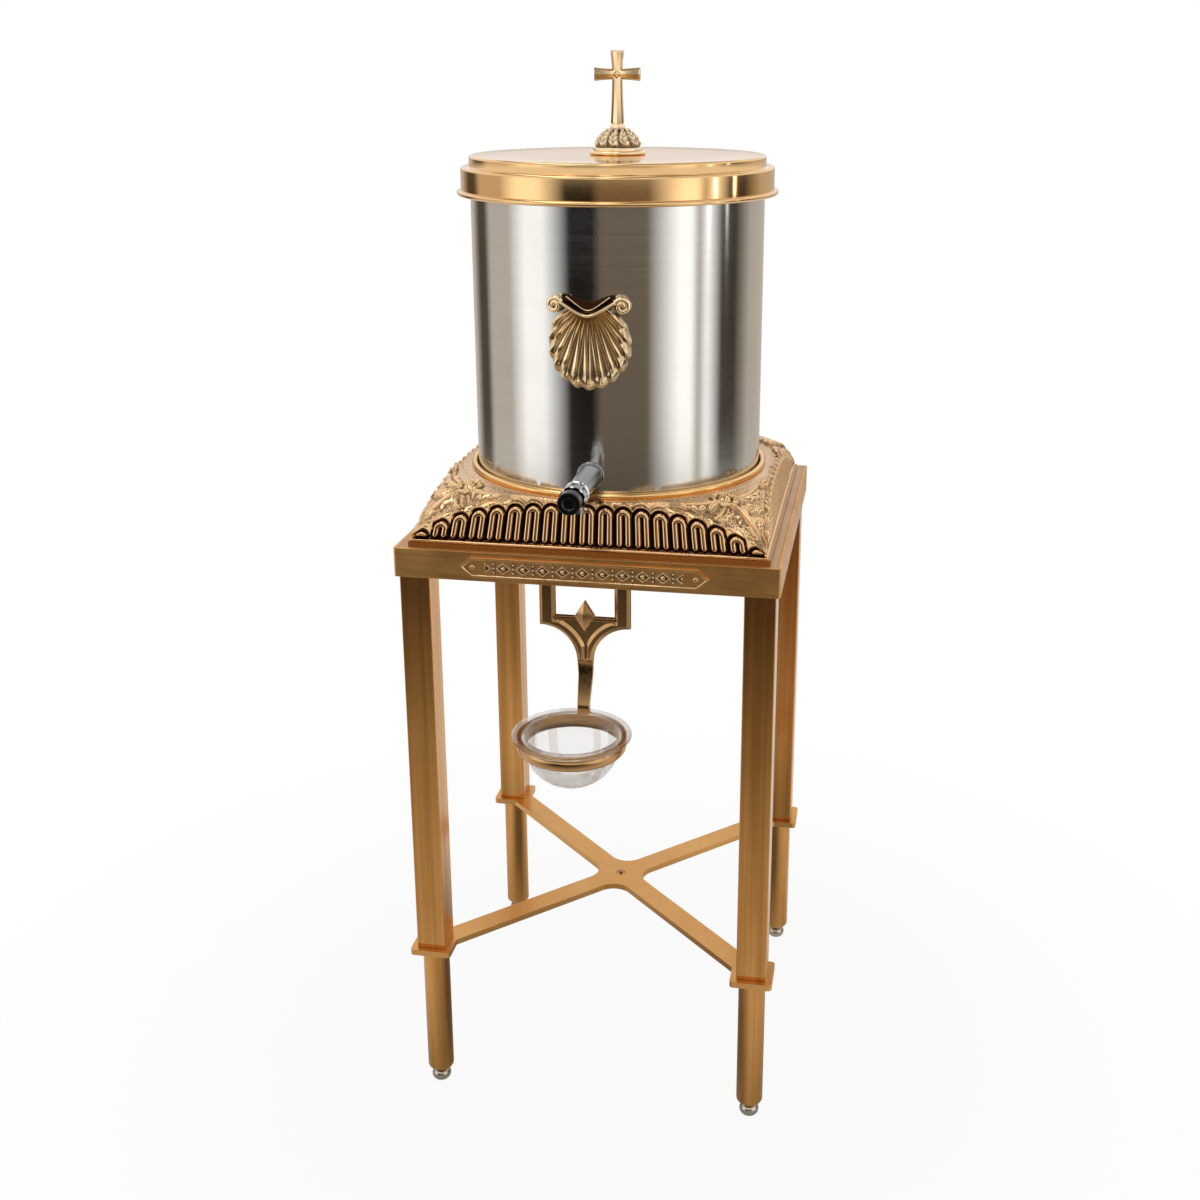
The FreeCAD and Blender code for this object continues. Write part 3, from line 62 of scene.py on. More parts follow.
# Measures taken from the frame
BASE_LOW, BASE_HIGH = span("embossed_base")
BASE_HALF = BASE_HIGH.x
COLLAR_LOW, COLLAR_HIGH = span("collar_ring")
COLLAR_EDGE = COLLAR_HIGH.x
LID_LOW, LID_HIGH = span("lid_cover")
PLATE_LOW, PLATE_HIGH = span("nameplate")
PLATE_MIDDLE_Z = (PLATE_LOW.z + PLATE_HIGH.z) / 2
DOME_LOW, DOME_HIGH = span("finial_dome")
CROSS_LOW, CROSS_HIGH = span("finial_cross")
BRACKET_LOW, BRACKET_HIGH = span("drip_bracket")
RING_LOW, RING_HIGH = span("drip_ring")
BUTTON_LOW, BUTTON_HIGH = span("push_button")
TAP_Z = (BUTTON_LOW.z + BUTTON_HIGH.z) / 2
APRON_BOTTOM_Z = span("apron_front")[0].z

# Measures that no box of a node shows
TANK_RADIUS = 152.4
RING_WALL_INNER = 49.4
LINER_CLEARANCE = 1.0
SLEEVE_GAP = 5.8


# Mesh helpers: a part is a list of points in millimetres and a list of faces
def smooth_step(low, high, value):
    share = np.clip((value - low) / (high - low), 0, 1)
    return share * share * (3 - 2 * share)


def ridge(distance, width):
    return np.exp(-(distance / width) ** 2)


def bulge(share, power=2):
    """Rounded rise: 1 where share is 0, and 0 from 1 on."""
    return np.sqrt(np.clip(1 - share ** power, 0, 1))


def full_turn(count):
    return np.linspace(0, 2 * math.pi, count, endpoint=False)


def grid_part(points, wrap=False):
    """Quads over points that come as rows and columns; wrap joins the last column to the first."""
    rows, columns = points.shape[:2]
    index = np.arange(rows * columns).reshape(rows, columns)
    if wrap:
        index = np.hstack([index, index[:, :1]])
    corners = [index[:-1, :-1], index[:-1, 1:], index[1:, 1:], index[1:, :-1]]
    return points.reshape(-1, 3), np.stack(corners, -1).reshape(-1, 4)


def turned_part(profile, segments=96, centre=(0, 0)):
    """Turns (radius, height) pairs round an upright axis."""
    profile = np.array(profile, float)
    turn = full_turn(segments)
    x = centre[0] + profile[:, :1] * np.cos(turn)
    y = centre[1] + profile[:, :1] * np.sin(turn)
    return grid_part(np.stack([x, y, np.repeat(profile[:, 1:], segments, 1)], -1), wrap=True)


def tube_part(path, radii, sides=14):
    """Round bar along a path, rounded off at both ends."""
    path = np.array(path, float)
    radii = np.broadcast_to(np.asarray(radii, float), len(path))
    along = np.gradient(path, axis=0)
    along /= np.linalg.norm(along, axis=1, keepdims=True)
    first = np.cross(along, (0.0, -1.0, 0.0))
    first /= np.linalg.norm(first, axis=1, keepdims=True)
    second = np.cross(first, along)
    caps = [(math.cos(t), math.sin(t)) for t in np.radians((0, 30, 60))]
    # Each ring: its point on the path, how far past that point it is and how wide, as shares of the radius
    rows = [(0, -past, wide) for past, wide in caps] + [(k, 0, 1) for k in range(len(path))]
    rows += [(-1, past, wide) for past, wide in reversed(caps)]
    turn = full_turn(sides)[:, None]
    rings = []
    for k, past, wide in rows:
        circle = np.cos(turn) * first[k] + np.sin(turn) * second[k]
        rings.append(path[k] + radii[k] * (past * along[k] + wide * circle))
    return grid_part(np.array(rings), wrap=True)


def plate_part(outline, front_y, back_y):
    """Flat plate with the given (x, z) outline, facing forward."""
    count = len(outline)
    points = [(x, y, z) for y in (front_y, back_y) for x, z in outline]
    sides = [(k, (k + 1) % count, count + (k + 1) % count, count + k) for k in range(count)]
    return np.array(points), [tuple(range(count)), tuple(reversed(range(count, 2 * count)))] + sides


def arc_points(centre, radius, from_deg, to_deg, steps=18):
    return [(centre[0] + radius * math.cos(t), centre[1] + radius * math.sin(t))
            for t in np.radians(np.linspace(from_deg, to_deg, steps))]


def link_object(name, data):
    obj = bpy.data.objects.new(name, data)
    bpy.context.scene.collection.objects.link(obj)
    return obj


def mesh_object(name, points, faces):
    """Mesh object from points in metres."""
    mesh = bpy.data.meshes.new(name)
    mesh.from_pydata(points, [], faces)
    return link_object(name, mesh)


def new_object(name, *parts):
    """One mesh object from parts."""
    points, faces, start = [], [], 0
    for part_points, part_faces in parts:
        points.append(part_points)
        faces += [[int(k) + start for k in face] for face in part_faces]
        start += len(part_points)
    return mesh_object(name, (np.concatenate(points) * MM + (0, AXIS_Y, 0)).tolist(), faces)


def float_attribute(obj, name, values):
    """Stores one number per point, which a material can read."""
    attribute = obj.data.attributes.new(name, "FLOAT", "POINT")
    attribute.data.foreach_set("value", np.asarray(values, np.float32).ravel())


def shade_painted_object(name, *parts):
    """One mesh object from parts, each with its painted shade: a number for the whole part or one per point.
    """
    obj = new_object(name, *[part for part, _ in parts])
    hollow = [np.broadcast_to(np.ravel(painted_shade), len(part[0])) for part, painted_shade in parts]
    # The point number hollow carries the painted shade that the metal darkens by
    float_attribute(obj, "hollow", np.concatenate(hollow))
    return obj


def weld(obj, distance=0.01):
    """Joins points that touch, closes flat openings and turns the faces outward."""
    mesh = bmesh.new()
    mesh.from_mesh(obj.data)
    bmesh.ops.remove_doubles(mesh, verts=mesh.verts, dist=distance * MM)
    bmesh.ops.dissolve_degenerate(mesh, edges=mesh.edges, dist=distance * MM)
    bmesh.ops.holes_fill(mesh, edges=[edge for edge in mesh.edges if edge.is_boundary])
    bmesh.ops.recalc_face_normals(mesh, faces=mesh.faces)
    mesh.to_mesh(obj.data)
    mesh.free()
    obj.data.shade_smooth()


def soften_edges(obj, width, segments=2):
    """Rounds the sharp edges of a plain piece by width, in millimetres."""
    bevel = obj.modifiers.new("edges", "BEVEL")
    bevel.width, bevel.segments = width * MM, segments
    bevel.limit_method, bevel.angle_limit = "ANGLE", math.radians(35)
    obj.modifiers.new("flats", "WEIGHTED_NORMAL")


def add_piece(obj, body, slot, material, *stands_for, crease_deg=100):
    """Gives a finished piece its body and its material, and hides the CAD nodes that it stands for; slot is
    not used.

    Edges that turn by more than crease_deg stay sharp."""
    weld(obj)
    obj.data.set_sharp_from_angle(angle=math.radians(crease_deg))
    obj.data.materials.append(material)
    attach(obj, body)
    if stands_for:
        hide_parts(*stands_for)


# Material helpers
WHITE = (1, 1, 1, 1)


def connect(tree, node, inputs):
    """Gives inputs of a node their values, each a plain value or the output of another node."""
    for key, value in inputs.items():
        if isinstance(value, bpy.types.NodeSocket):
            tree.links.new(value, node.inputs[key])
        else:
            node.inputs[key].default_value = value


def add_node(tree, kind, inputs=None, **settings):
    made = tree.nodes.new(kind)
    for key, value in settings.items():
        setattr(made, key, value)
    connect(tree, made, inputs or {})
    return made


def start_material(name):
    material = bpy.data.materials.new(name)
    material.use_nodes = True
    tree = material.node_tree
    return material, tree, next(n for n in tree.nodes if n.type == "BSDF_PRINCIPLED")


def set_surface(tree, surface):
    out = next(n for n in tree.nodes if n.type == "OUTPUT_MATERIAL")
    connect(tree, out, {"Surface": surface})


def place_on(tree):
    """Place of the shaded point, in the object's own metres."""
    return add_node(tree, "ShaderNodeTexCoord").outputs["Object"]


def axes_of(tree, place):
    return add_node(tree, "ShaderNodeSeparateXYZ", {0: place}).outputs


def maths(tree, operation, first, second):
    return add_node(tree, "ShaderNodeMath", {0: first, 1: second}, operation=operation).outputs[0]


def noise(tree, scale, detail=3.0, roughness=0.6):
    """Noise that changes scale times per metre: one number, or one each for X, Y and Z."""
    scales = scale if isinstance(scale, tuple) else (scale,) * 3
    mapping = add_node(tree, "ShaderNodeMapping", {"Vector": place_on(tree), "Scale": scales})
    made = add_node(tree, "ShaderNodeTexNoise", {"Vector": mapping.outputs["Vector"], "Scale": 1.0,
                                                 "Detail": detail, "Roughness": roughness})
    return made.outputs["Fac"]


def ramp(tree, factor, *stops):
    """Colour ramp with stops given as (position, colour)."""
    made = add_node(tree, "ShaderNodeValToRGB", {"Fac": factor})
    elements = made.color_ramp.elements
    while len(elements) < len(stops):
        elements.new(0.5)
    for element, (position, colour) in zip(elements, stops):
        element.position = position
        element.color = (*colour, 1)
    return made.outputs["Color"]


def to_range(tree, value, low, high, from_low=0.3, from_high=0.7):
    made = add_node(tree, "ShaderNodeMapRange", {"Value": value, "From Min": from_low, "From Max": from_high,
                                                 "To Min": low, "To Max": high})
    return made.outputs["Result"]


def mix_colour(tree, blend, factor, first, second):
    inputs = {0: factor, 6: first, 7: second}
    return add_node(tree, "ShaderNodeMix", inputs, data_type="RGBA", blend_type=blend).outputs[2]


def mix_shader(tree, factor, first, second):
    return add_node(tree, "ShaderNodeMixShader", {0: factor, 1: first, 2: second}).outputs[0]


def emission(tree, colour, strength=1.0):
    return add_node(tree, "ShaderNodeEmission", {"Color": colour, "Strength": strength}).outputs[0]


def bump(tree, height, depth, strength, below=None):
    """Surface marks, depth in millimetres, which may lie over other marks."""
    inputs = {"Strength": strength, "Distance": depth * MM, "Height": height}
    if below is not None:
        inputs["Normal"] = below
    return add_node(tree, "ShaderNodeBump", inputs).outputs["Normal"]


def point_number(tree, name):
    return add_node(tree, "ShaderNodeAttribute", attribute_name=name).outputs["Fac"]


# Metals: how often marks change per metre, and the tints that streaks and polishing bands give
DRIFT_SCALE = 9
SMUDGE_SCALE = 23
PUNCH_SCALE = 420.0
STREAK_TINT = (0.94, 0.94, 0.94)
BAND_TINTS = ((0.32, (0.76, 0.72, 0.66)), (0.66, (1.12, 1.14, 1.16)))


def metal(name, light, dark, roughness, grain=160, grain_depth=0.01,
          painted_shade=None, stipple=0.0, spun=0.0, bands=None):
    """Worked metal with brush marks, a slow drift of colour, and painted shade in the hollows of a relief.

    grain is how often the brush marks change per metre; grain_depth and stipple are how deep brush marks
    and punch marks are, in millimetres; spun is how far the brush marks that run round an upright axis
    draw highlights out across them; bands is how often broad polishing bands change per metre."""
    material, tree, shader = start_material(name)
    brush = noise(tree, grain, 3.0, 0.7)
    colour = ramp(tree, noise(tree, DRIFT_SCALE, 4.0), (0.3, dark), (0.7, light))
    streaks = ramp(tree, brush, (0.25, STREAK_TINT), (0.75, WHITE[:3]))
    colour = mix_colour(tree, "MULTIPLY", 1.0, colour, streaks)
    if bands:
        polish = ramp(tree, noise(tree, bands, 2.0), *BAND_TINTS)
        colour = mix_colour(tree, "MULTIPLY", 1.0, colour, polish)
    # Painted shade: the hollows of a relief darken towards this dark colour, by the point number hollow
    if painted_shade:
        colour = mix_colour(tree, "MIX", point_number(tree, "hollow"), colour, (*painted_shade, 1))
    smudge = to_range(tree, noise(tree, SMUDGE_SCALE), 0.88, 1.14)
    rough = maths(tree, "MULTIPLY", to_range(tree, brush, roughness * 0.85, roughness * 1.15), smudge)
    marks = bump(tree, brush, grain_depth, 0.35)
    if stipple:
        punch = add_node(tree, "ShaderNodeTexVoronoi", {"Vector": place_on(tree), "Scale": PUNCH_SCALE})
        from_pit = punch.outputs["Distance"]
        ground = point_number(tree, "stipple")
        # Punch pits darken towards the same dark colour: painted shade
        pit = maths(tree, "MULTIPLY", to_range(tree, from_pit, 0.85, 0.0, 0.12, 0.28), ground)
        colour = mix_colour(tree, "MIX", pit, colour, (*painted_shade, 1))
        marks = bump(tree, maths(tree, "MULTIPLY", from_pit, ground), stipple, 0.8, marks)
    connect(tree, shader, {"Metallic": 1, "Base Color": colour, "Roughness": rough, "Normal": marks})
    if spun:
        round_axis = add_node(tree, "ShaderNodeTangent", direction_type="RADIAL", axis="Z")
        connect(tree, shader, {"Anisotropic": spun, "Anisotropic Rotation": 0.25,
                               "Tangent": round_axis.outputs["Tangent"]})
    return material


LEG_BRASS = metal("leg_brass", (0.68, 0.345, 0.11), (0.62, 0.3, 0.09), 0.2, (900, 900, 20), 0.03,
                  bands=(110, 110, 2))
STRETCHER_BRASS = metal("stretcher_brass", (0.72, 0.39, 0.135), (0.66, 0.34, 0.11), 0.3, 300, 0.03)
# Brass darkened for the table top and base plate: painted shade
SHADED_TOP_BRASS = metal("shaded_top_brass", (0.46, 0.235, 0.08), (0.4, 0.2, 0.065), 0.2, (20, 900, 900), 0.03)
RAIL_BRASS = metal("rail_brass", (0.74, 0.4, 0.14), (0.66, 0.34, 0.11), 0.4, (20, 900, 900), 0.03)
SIDE_RAIL_BRASS = metal("side_rail_brass", (0.74, 0.4, 0.14), (0.66, 0.34, 0.11), 0.4, (900, 20, 900), 0.03)
# Its dark colour is painted shade for the hollows of the base and of the nameplate relief
BASE_BRASS = metal("base_brass", (0.88, 0.57, 0.3), (0.8, 0.49, 0.24), 0.12,
                   painted_shade=(0.025, 0.01, 0.005), stipple=0.2)
TRIM_BRASS = metal("trim_brass", (0.94, 0.59, 0.25), (0.87, 0.53, 0.21), 0.16)
LID_BRASS = metal("lid_brass", (0.86, 0.56, 0.27), (0.8, 0.5, 0.225), 0.12, (30, 30, 900), 0.02, spun=0.6)
# Its dark colour is painted shade for the hollows of the shell and of the leafy dome
ORNAMENT_BRASS = metal("ornament_brass", (1.0, 0.79, 0.51), (0.94, 0.7, 0.41), 0.19,
                       painted_shade=(0.03, 0.012, 0.005))
CROSS_BRASS = metal("cross_brass", (0.9, 0.68, 0.42), (0.84, 0.6, 0.35), 0.16)
BRACKET_BRASS = metal("bracket_brass", (0.6, 0.36, 0.16), (0.48, 0.28, 0.115), 0.18, 200, 0.02)
TANK_STEEL = metal("tank_steel", (0.68, 0.665, 0.63), (0.63, 0.615, 0.58), 0.13, (6, 6, 900), spun=0.8)
# Its dark colour is painted shade for the hollows of the tap sleeve
CHROME_RELIEF = metal("chrome_relief", (0.86, 0.86, 0.86), (0.78, 0.78, 0.79), 0.1, 120,
                      painted_shade=(0.02, 0.02, 0.022))
# Its dark colour is painted shade for the inner wall of the drip ring
RING_BRASS = metal("ring_brass", (0.62, 0.37, 0.17), (0.52, 0.3, 0.125), 0.2, 300, 0.02,
                   painted_shade=(0.1, 0.045, 0.02))
CHROME = metal("chrome", (0.46, 0.47, 0.49), (0.4, 0.41, 0.43), 0.09, 120)
FOOT_NICKEL = metal("foot_nickel", (0.55, 0.49, 0.41), (0.46, 0.4, 0.33), 0.14, 120)
STEEL = metal("screw_steel", (0.5, 0.49, 0.47), (0.42, 0.41, 0.4), 0.3, 200, 0.02)


def moulded(name, light, dark, rough_low, rough_high, grain):
    """Moulded plastic or rubber with a fine grain."""
    material, tree, shader = start_material(name)
    speck = noise(tree, grain)
    connect(tree, shader, {"Base Color": ramp(tree, speck, (0.3, dark), (0.7, light)),
                           "Roughness": to_range(tree, speck, rough_low, rough_high),
                           "Normal": bump(tree, speck, 0.05, 0.2)})
    return material


def clear_glass():
    material, tree, shader = start_material("clear_glass")
    waves = noise(tree, 40, 1.0)
    connect(tree, shader, {"Base Color": (0.8, 0.785, 0.755, 1), "Transmission Weight": 1, "IOR": 1.35,
                           "Alpha": 0.6, "Roughness": to_range(tree, waves, 0.0, 0.03),
                           "Normal": bump(tree, waves, 0.4, 0.1)})
    return material


SLOT_MATERIALS = {
    "satin_brass": LEG_BRASS, "polished_brass": TRIM_BRASS, "antique_brass": BRACKET_BRASS,
    "lid_brass": LID_BRASS, "tank_steel": TANK_STEEL, "chrome": CHROME, "fastener_steel": STEEL,
    "seal_rubber": moulded("seal_rubber", (0.03, 0.03, 0.03), (0.015, 0.015, 0.015), 0.5, 0.7, 700),
    "button_black": moulded("button_black", (0.012, 0.012, 0.013), (0.006, 0.006, 0.007), 0.12, 0.2, 500),
    "clear_glass": clear_glass(),
}
# Sheet-metal nodes, whose brush marks run along them
SHEET_METALS = {
    "table_top": SHADED_TOP_BRASS, "base_plate": SHADED_TOP_BRASS, "nameplate": RAIL_BRASS,
    "apron_front": RAIL_BRASS, "apron_back": RAIL_BRASS,
    "apron_left": SIDE_RAIL_BRASS, "apron_right": SIDE_RAIL_BRASS,
    "stretcher_bar_lower": STRETCHER_BRASS, "stretcher_bar_upper": STRETCHER_BRASS,
    "leg_front_left": LEG_BRASS, "leg_front_right": LEG_BRASS,
    "leg_back_left": LEG_BRASS, "leg_back_right": LEG_BRASS,
}


def dress_frame():
    """Every CAD node takes the material of its slot, apart from sheet metal and the feet."""
    for name, node in NODES.items():
        material = SHEET_METALS.get(name, SLOT_MATERIALS[node.data.materials[0].name])
        node.data.materials.clear()
        node.data.materials.append(FOOT_NICKEL if name.startswith("foot_") else material)


# Embossed base
PANEL_LEAN = 10.0
BASE_EDGE = 3.5
LEDGE_RADIUS = 163.1
BASE_HOLE = 157.6
BASE_BULGE = 10.0
BASE_FOOT = BASE_LOW.z
BASE_RISE = BASE_HIGH.z - BASE_LOW.z
BASE_CORNER = BASE_HALF * math.sqrt(2)
LOBE_COUNT = 19
LOBE_PITCH = 2 * BASE_HALF / LOBE_COUNT
LOBE_RIB_CENTRE = 4.5
LOBE_RIB_HALF = 3.3
LOBE_FOOT = 3.6
LOBE_HEADROOM = 4.2
LOBE_DEPTH = 4.2
HOOD_RADIUS = 10.8
HOOD_LIP = 1.5
FOOT_LIP = 1.3
BASE_WALL = 3.5
PANEL_WALL = 1.5
BASE_INNER_HALF = BASE_HALF - PANEL_LEAN - LOBE_DEPTH - PANEL_WALL


def circle_through(first, second, third):
    """Centre and radius of the circle through three points."""
    rows = np.array([[2 * x, 2 * z, 1] for x, z in (first, second, third)])
    squares = np.array([x * x + z * z for x, z in (first, second, third)])
    centre_x, centre_z, rest = np.linalg.solve(rows, squares)
    return centre_x, centre_z, math.sqrt(rest + centre_x ** 2 + centre_z ** 2)


BASE_CIRCLE = circle_through(
    (BASE_CORNER, BASE_EDGE), ((BASE_CORNER + LEDGE_RADIUS) / 2, (BASE_EDGE + BASE_RISE) / 2 + BASE_BULGE),
    (LEDGE_RADIUS, BASE_RISE))


def base_dome(radius):
    """Height of the domed top above the base's foot."""
    centre, height, bend = BASE_CIRCLE
    return height + np.sqrt(bend ** 2 - (np.clip(radius, LEDGE_RADIUS, BASE_CORNER) - centre) ** 2)


def panel_half(height):
    return BASE_HALF - PANEL_LEAN * height / BASE_RISE


def arch_height(across):
    """Height at which the leaning side panel meets the domed top."""
    height = np.full_like(across, BASE_RISE / 2)
    for _ in range(30):
        height = base_dome(panel_half(height) * np.sqrt(1 + across ** 2))
    return height


def lobe_cap(x):
    """Sideways distance from the nearest tongue's middle, and the height where its round top starts."""
    middle = np.round(x / LOBE_PITCH) * LOBE_PITCH
    top = arch_height(np.clip(middle / BASE_HALF, -1, 1))
    return np.abs(x - middle), top - HOOD_RADIUS


def scalloped_edge(across):
    """Height of the scalloped upper edge of the side panel."""
    arch = arch_height(across)
    side, cap = lobe_cap(across * BASE_HALF)
    return np.clip(cap + np.sqrt(HOOD_RADIUS ** 2 - np.minimum(side, LOBE_PITCH / 2) ** 2), BASE_EDGE, arch)


def lobe_level(x, height, edge):
    """Row of hairpin bars under a hooded edge: 1 at the panel's face, 0 in the deepest hollow."""
    side, cap = lobe_cap(x)
    above = height - cap + LOBE_HEADROOM - HOOD_RADIUS + LOBE_RIB_CENTRE + LOBE_RIB_HALF
    reach = np.hypot(side, np.maximum(above, 0))
    below = np.maximum(LOBE_FOOT + LOBE_RIB_HALF - height, 0)
    rim = bulge(np.hypot(reach - LOBE_RIB_CENTRE, below) / LOBE_RIB_HALF, 3)
    hood = smooth_step(HOOD_LIP + 0.7, HOOD_LIP, edge - height)
    lip = smooth_step(FOOT_LIP + 0.8, FOOT_LIP - 0.4, height)
    return np.maximum.reduce([rim, hood, lip])


LEAF_SCALLOPS = 7
LEAF_SCALLOP_DEPTH = 0.18
MIDRIB_DEPTH = 0.7
MIDRIB_WIDTH = 1.1


def leaf(e, f, root, tip, width, bend):
    """Blade with a scalloped edge and a sunk midrib, from root to tip."""
    along_e, along_f = tip[0] - root[0], tip[1] - root[1]
    length = math.hypot(along_e, along_f)
    along = ((e - root[0]) * along_e + (f - root[1]) * along_f) / length ** 2
    across = ((f - root[1]) * along_e - (e - root[0]) * along_f) / length
    inside = np.clip(along, 0, 1)
    across = across - bend * 4 * inside * (1 - inside)
    lobed = 1 + LEAF_SCALLOP_DEPTH * np.cos(inside * LEAF_SCALLOPS * math.pi)
    half = np.maximum(width * np.sin(math.pi * inside ** 0.75) * lobed, 1e-3)
    blade = bulge(np.abs(across) / half) * ((along > 0) & (along < 1))
    return blade * (1 - MIDRIB_DEPTH * ridge(across, MIDRIB_WIDTH))


ROSETTE_OUT = 186.0
ROSETTE_RADIUS = 15.0
ROSETTE_PETALS = 8
ROSETTE_RIM_INSET = 2.5
ROSETTE_RIM_WIDTH = 2.0
ROSETTE_EYE_RADIUS = 7.0
ROSETTE_EYE_RISE = 1.1
# Leaves on one half of a corner: root, tip, half width and bend, along and across the corner's diagonal
SPANDREL_LEAVES = (
    ((196, 0), (244, 0), 11.0, 0.0), ((190, 10), (176, 52), 8.5, -5.0),
    ((200, 8), (212, 36), 7.5, -4.0), ((172, 56), (150, 92), 6.0, -4.0),
)
SPANDREL_RELIEF = 4.8
GROOVE_OUT = 11.0
GROOVE_DEPTH = 0.9
GROOVE_WIDTH = 0.9
EDGE_ROLL = 9.0


def spandrel_level(x, y):
    """Rosette and leaves on the two corners beside one side: 0 on the ground, 1 on the highest leaf."""
    left = x < 0
    turned_x, turned_y = np.where(left, -y, x), np.where(left, x, y)
    e, f = (turned_x - turned_y) / math.sqrt(2), (turned_x + turned_y) / math.sqrt(2)
    from_rose = np.hypot(e - ROSETTE_OUT, f)
    turn = np.arctan2(f, e - ROSETTE_OUT)
    petals = ROSETTE_RADIUS * (0.93 + 0.07 * np.cos(ROSETTE_PETALS * turn))
    rim = ridge(from_rose - petals + ROSETTE_RIM_INSET, ROSETTE_RIM_WIDTH)
    level = np.maximum(rim, ROSETTE_EYE_RISE * bulge(from_rose / ROSETTE_EYE_RADIUS))
    for root, tip, width, bend in SPANDREL_LEAVES:
        for side in (1, -1):
            level = np.maximum(level, leaf(e, side * f, root, tip, width, bend))
    return level


def base_inside(across, hole_x, hole_y, rows=10):
    """Plain inside of one side, from the hole back under the dome and down to the foot."""
    share = np.linspace(0, 1, rows)[:, None]
    x = hole_x + (across * BASE_INNER_HALF - hole_x) * share
    y = hole_y + (-BASE_INNER_HALF - hole_y) * share
    under = np.stack([x, y, base_dome(np.hypot(x, y)) - BASE_WALL], -1)
    foot = under[-1:] * (1, 1, 0)
    outer_foot = np.stack([across * BASE_HALF, -BASE_HALF + 0 * across, 0 * across], -1)
    return np.concatenate([under, foot, outer_foot])


def base_side(columns=457, panel_rows=66, top_rows=104):
    """Front quarter of the base, from the leaning panel to the inside, with its painted shade and its
    stipple.
    """
    across = np.linspace(-1, 1, columns)[None, :]
    edge = scalloped_edge(across)
    height = np.linspace(0, 1, panel_rows)[:, None] * edge
    half = panel_half(height)
    level = lobe_level(across * BASE_HALF, height, edge)
    # The relief dies away at the corner ridges, where the next side joins on
    hollow = (1 - level) * smooth_step(1.0, 0.985, np.abs(across))
    panel = np.stack([across * half, LOBE_DEPTH * hollow - half, height], -1)
    share = np.linspace(0, 1, top_rows)[1:, None]
    turn = across * math.pi / 4
    edge_x, edge_y = panel[-1:, :, 0], panel[-1:, :, 1]
    x = edge_x + (BASE_HOLE * np.sin(turn) - edge_x) * share
    y = edge_y + (-BASE_HOLE * np.cos(turn) - edge_y) * share
    fade = smooth_step(0, 0.1, share) * smooth_step(1.0, 0.9, share)
    leaves = spandrel_level(x, y) * fade
    radius = np.hypot(x, y)
    groove = ridge(radius - COLLAR_EDGE - GROOVE_OUT, GROOVE_WIDTH) * fade
    sag = edge - base_dome(np.hypot(edge_x, edge_y))
    sag = sag * smooth_step(EDGE_ROLL, 0, share * (radius[:1] - BASE_HOLE))
    z = base_dome(radius) + sag + SPANDREL_RELIEF * leaves - GROOVE_DEPTH * groove
    ground = smooth_step(0.12, 0.02, leaves) * fade
    outline = smooth_step(0.0, 0.06, leaves) * smooth_step(0.65, 0.12, leaves)
    inside = base_inside(across, x[-1:], y[-1:])
    plain = np.zeros(inside.shape[:2])
    points = np.concatenate([panel, np.stack([x, y, z], -1), inside])
    points[..., 2] += BASE_FOOT
    # Painted shade: dark in the hollows between the bars, dark outlines round the leaves, a little on the
    # ground
    painted_shade = np.concatenate([smooth_step(0.3, 0.9, hollow), 0.2 * ground + 0.9 * outline, plain])
    return points, painted_shade, np.concatenate([0 * hollow, ground, plain])


def embossed_base():
    points, painted_shade, stipple = base_side()
    quarter = np.array([[0, 1, 0], [-1, 0, 0], [0, 0, 1]])
    sides = []
    for _ in range(4):
        sides.append((grid_part(points), painted_shade))
        points = points @ quarter
    base = shade_painted_object("base_embossed", *sides)
    float_attribute(base, "stipple", np.tile(stipple.ravel(), 4))
    add_piece(base, "stand", "polished_brass", BASE_BRASS, "embossed_base")


# Shell ornament on the tank
SHELL_TIP_Z = 890.0
SHELL_LENGTH = 93.5
SHELL_NARROWING = 1.17
SHELL_RIBS = 13
SHELL_RIB_DEG = 8.6
SHELL_PROUD = 8.0
SHELL_SEAT = -0.5
SHELL_BACK_ROWS = 6
SHELL_RIM_PROUD = 2.0
SHELL_VALLEY_RISE = 2.2
SHELL_RIDGE_RISE = 1.3
SHELL_RIDGE_HALF = 1.9
SHELL_BULB_RISE = 4.0
SHELL_BULB_RADIUS = 4.3
SHELL_BULB_INSET = 5.2
LIP_HALF = 26.0
LIP_LOW_Z = 870.5
LIP_HIGH_Z = 883.0
LIP_DEPTH = SHELL_TIP_Z - LIP_LOW_Z
LIP_SLOPE = (LIP_HIGH_Z - LIP_LOW_Z) / LIP_HALF
LIP_PROUD = 11.0
LIP_RADIUS = 1.5
LIP_ROUNDING = 0.09
BAND_RISE = 12.0
BAND_END_DROP = 5.0
# Rows of the band, painted dark as shade: share of its rise, how far it stands proud of the tank, and how far
# it is shifted up
BAND_ROWS = (
    (0.0, LIP_PROUD - 4.5, -3.0), (0.0, LIP_PROUD - 1.0, -0.5), (0.12, LIP_PROUD - 0.5, 0.0),
    (0.3, LIP_PROUD * 0.5, 0.0), (0.6, 3.4, 0.0), (0.9, 3.6, 0.0), (1.0, 3.0, 0.0),
    (1.1, SHELL_SEAT, 0.0), (0.0, SHELL_SEAT, -3.0), (0.0, LIP_PROUD - 4.5, -3.0),
)
BEAD_PROUD = 5.6
BEAD_RISE = 4.6
BEAD_RADIUS = 0.8
BEAD_SHARE = 0.8
VOLUTE_PLACE = (33.0, 879.5)
VOLUTE_RADIUS = 7.2
VOLUTE_TURNS = 1.35
VOLUTE_START_DEG = 150
VOLUTE_CURL = 0.72
VOLUTE_PROUD = 6.5
VOLUTE_EYE_RISE = 2.0
VOLUTE_BAR = 3.0
VOLUTE_TAPER = 1.0
PAD_MARGIN = 0.6
# Disc behind a volute: share of its radius, and how far it stands proud of the tank
PAD_PROFILE = ((0.0, 6.2), (0.35, 6.0), (0.7, 5.6), (0.95, 4.6), (1.0, 2.0), (1.0, SHELL_SEAT),
               (0.0, SHELL_SEAT))


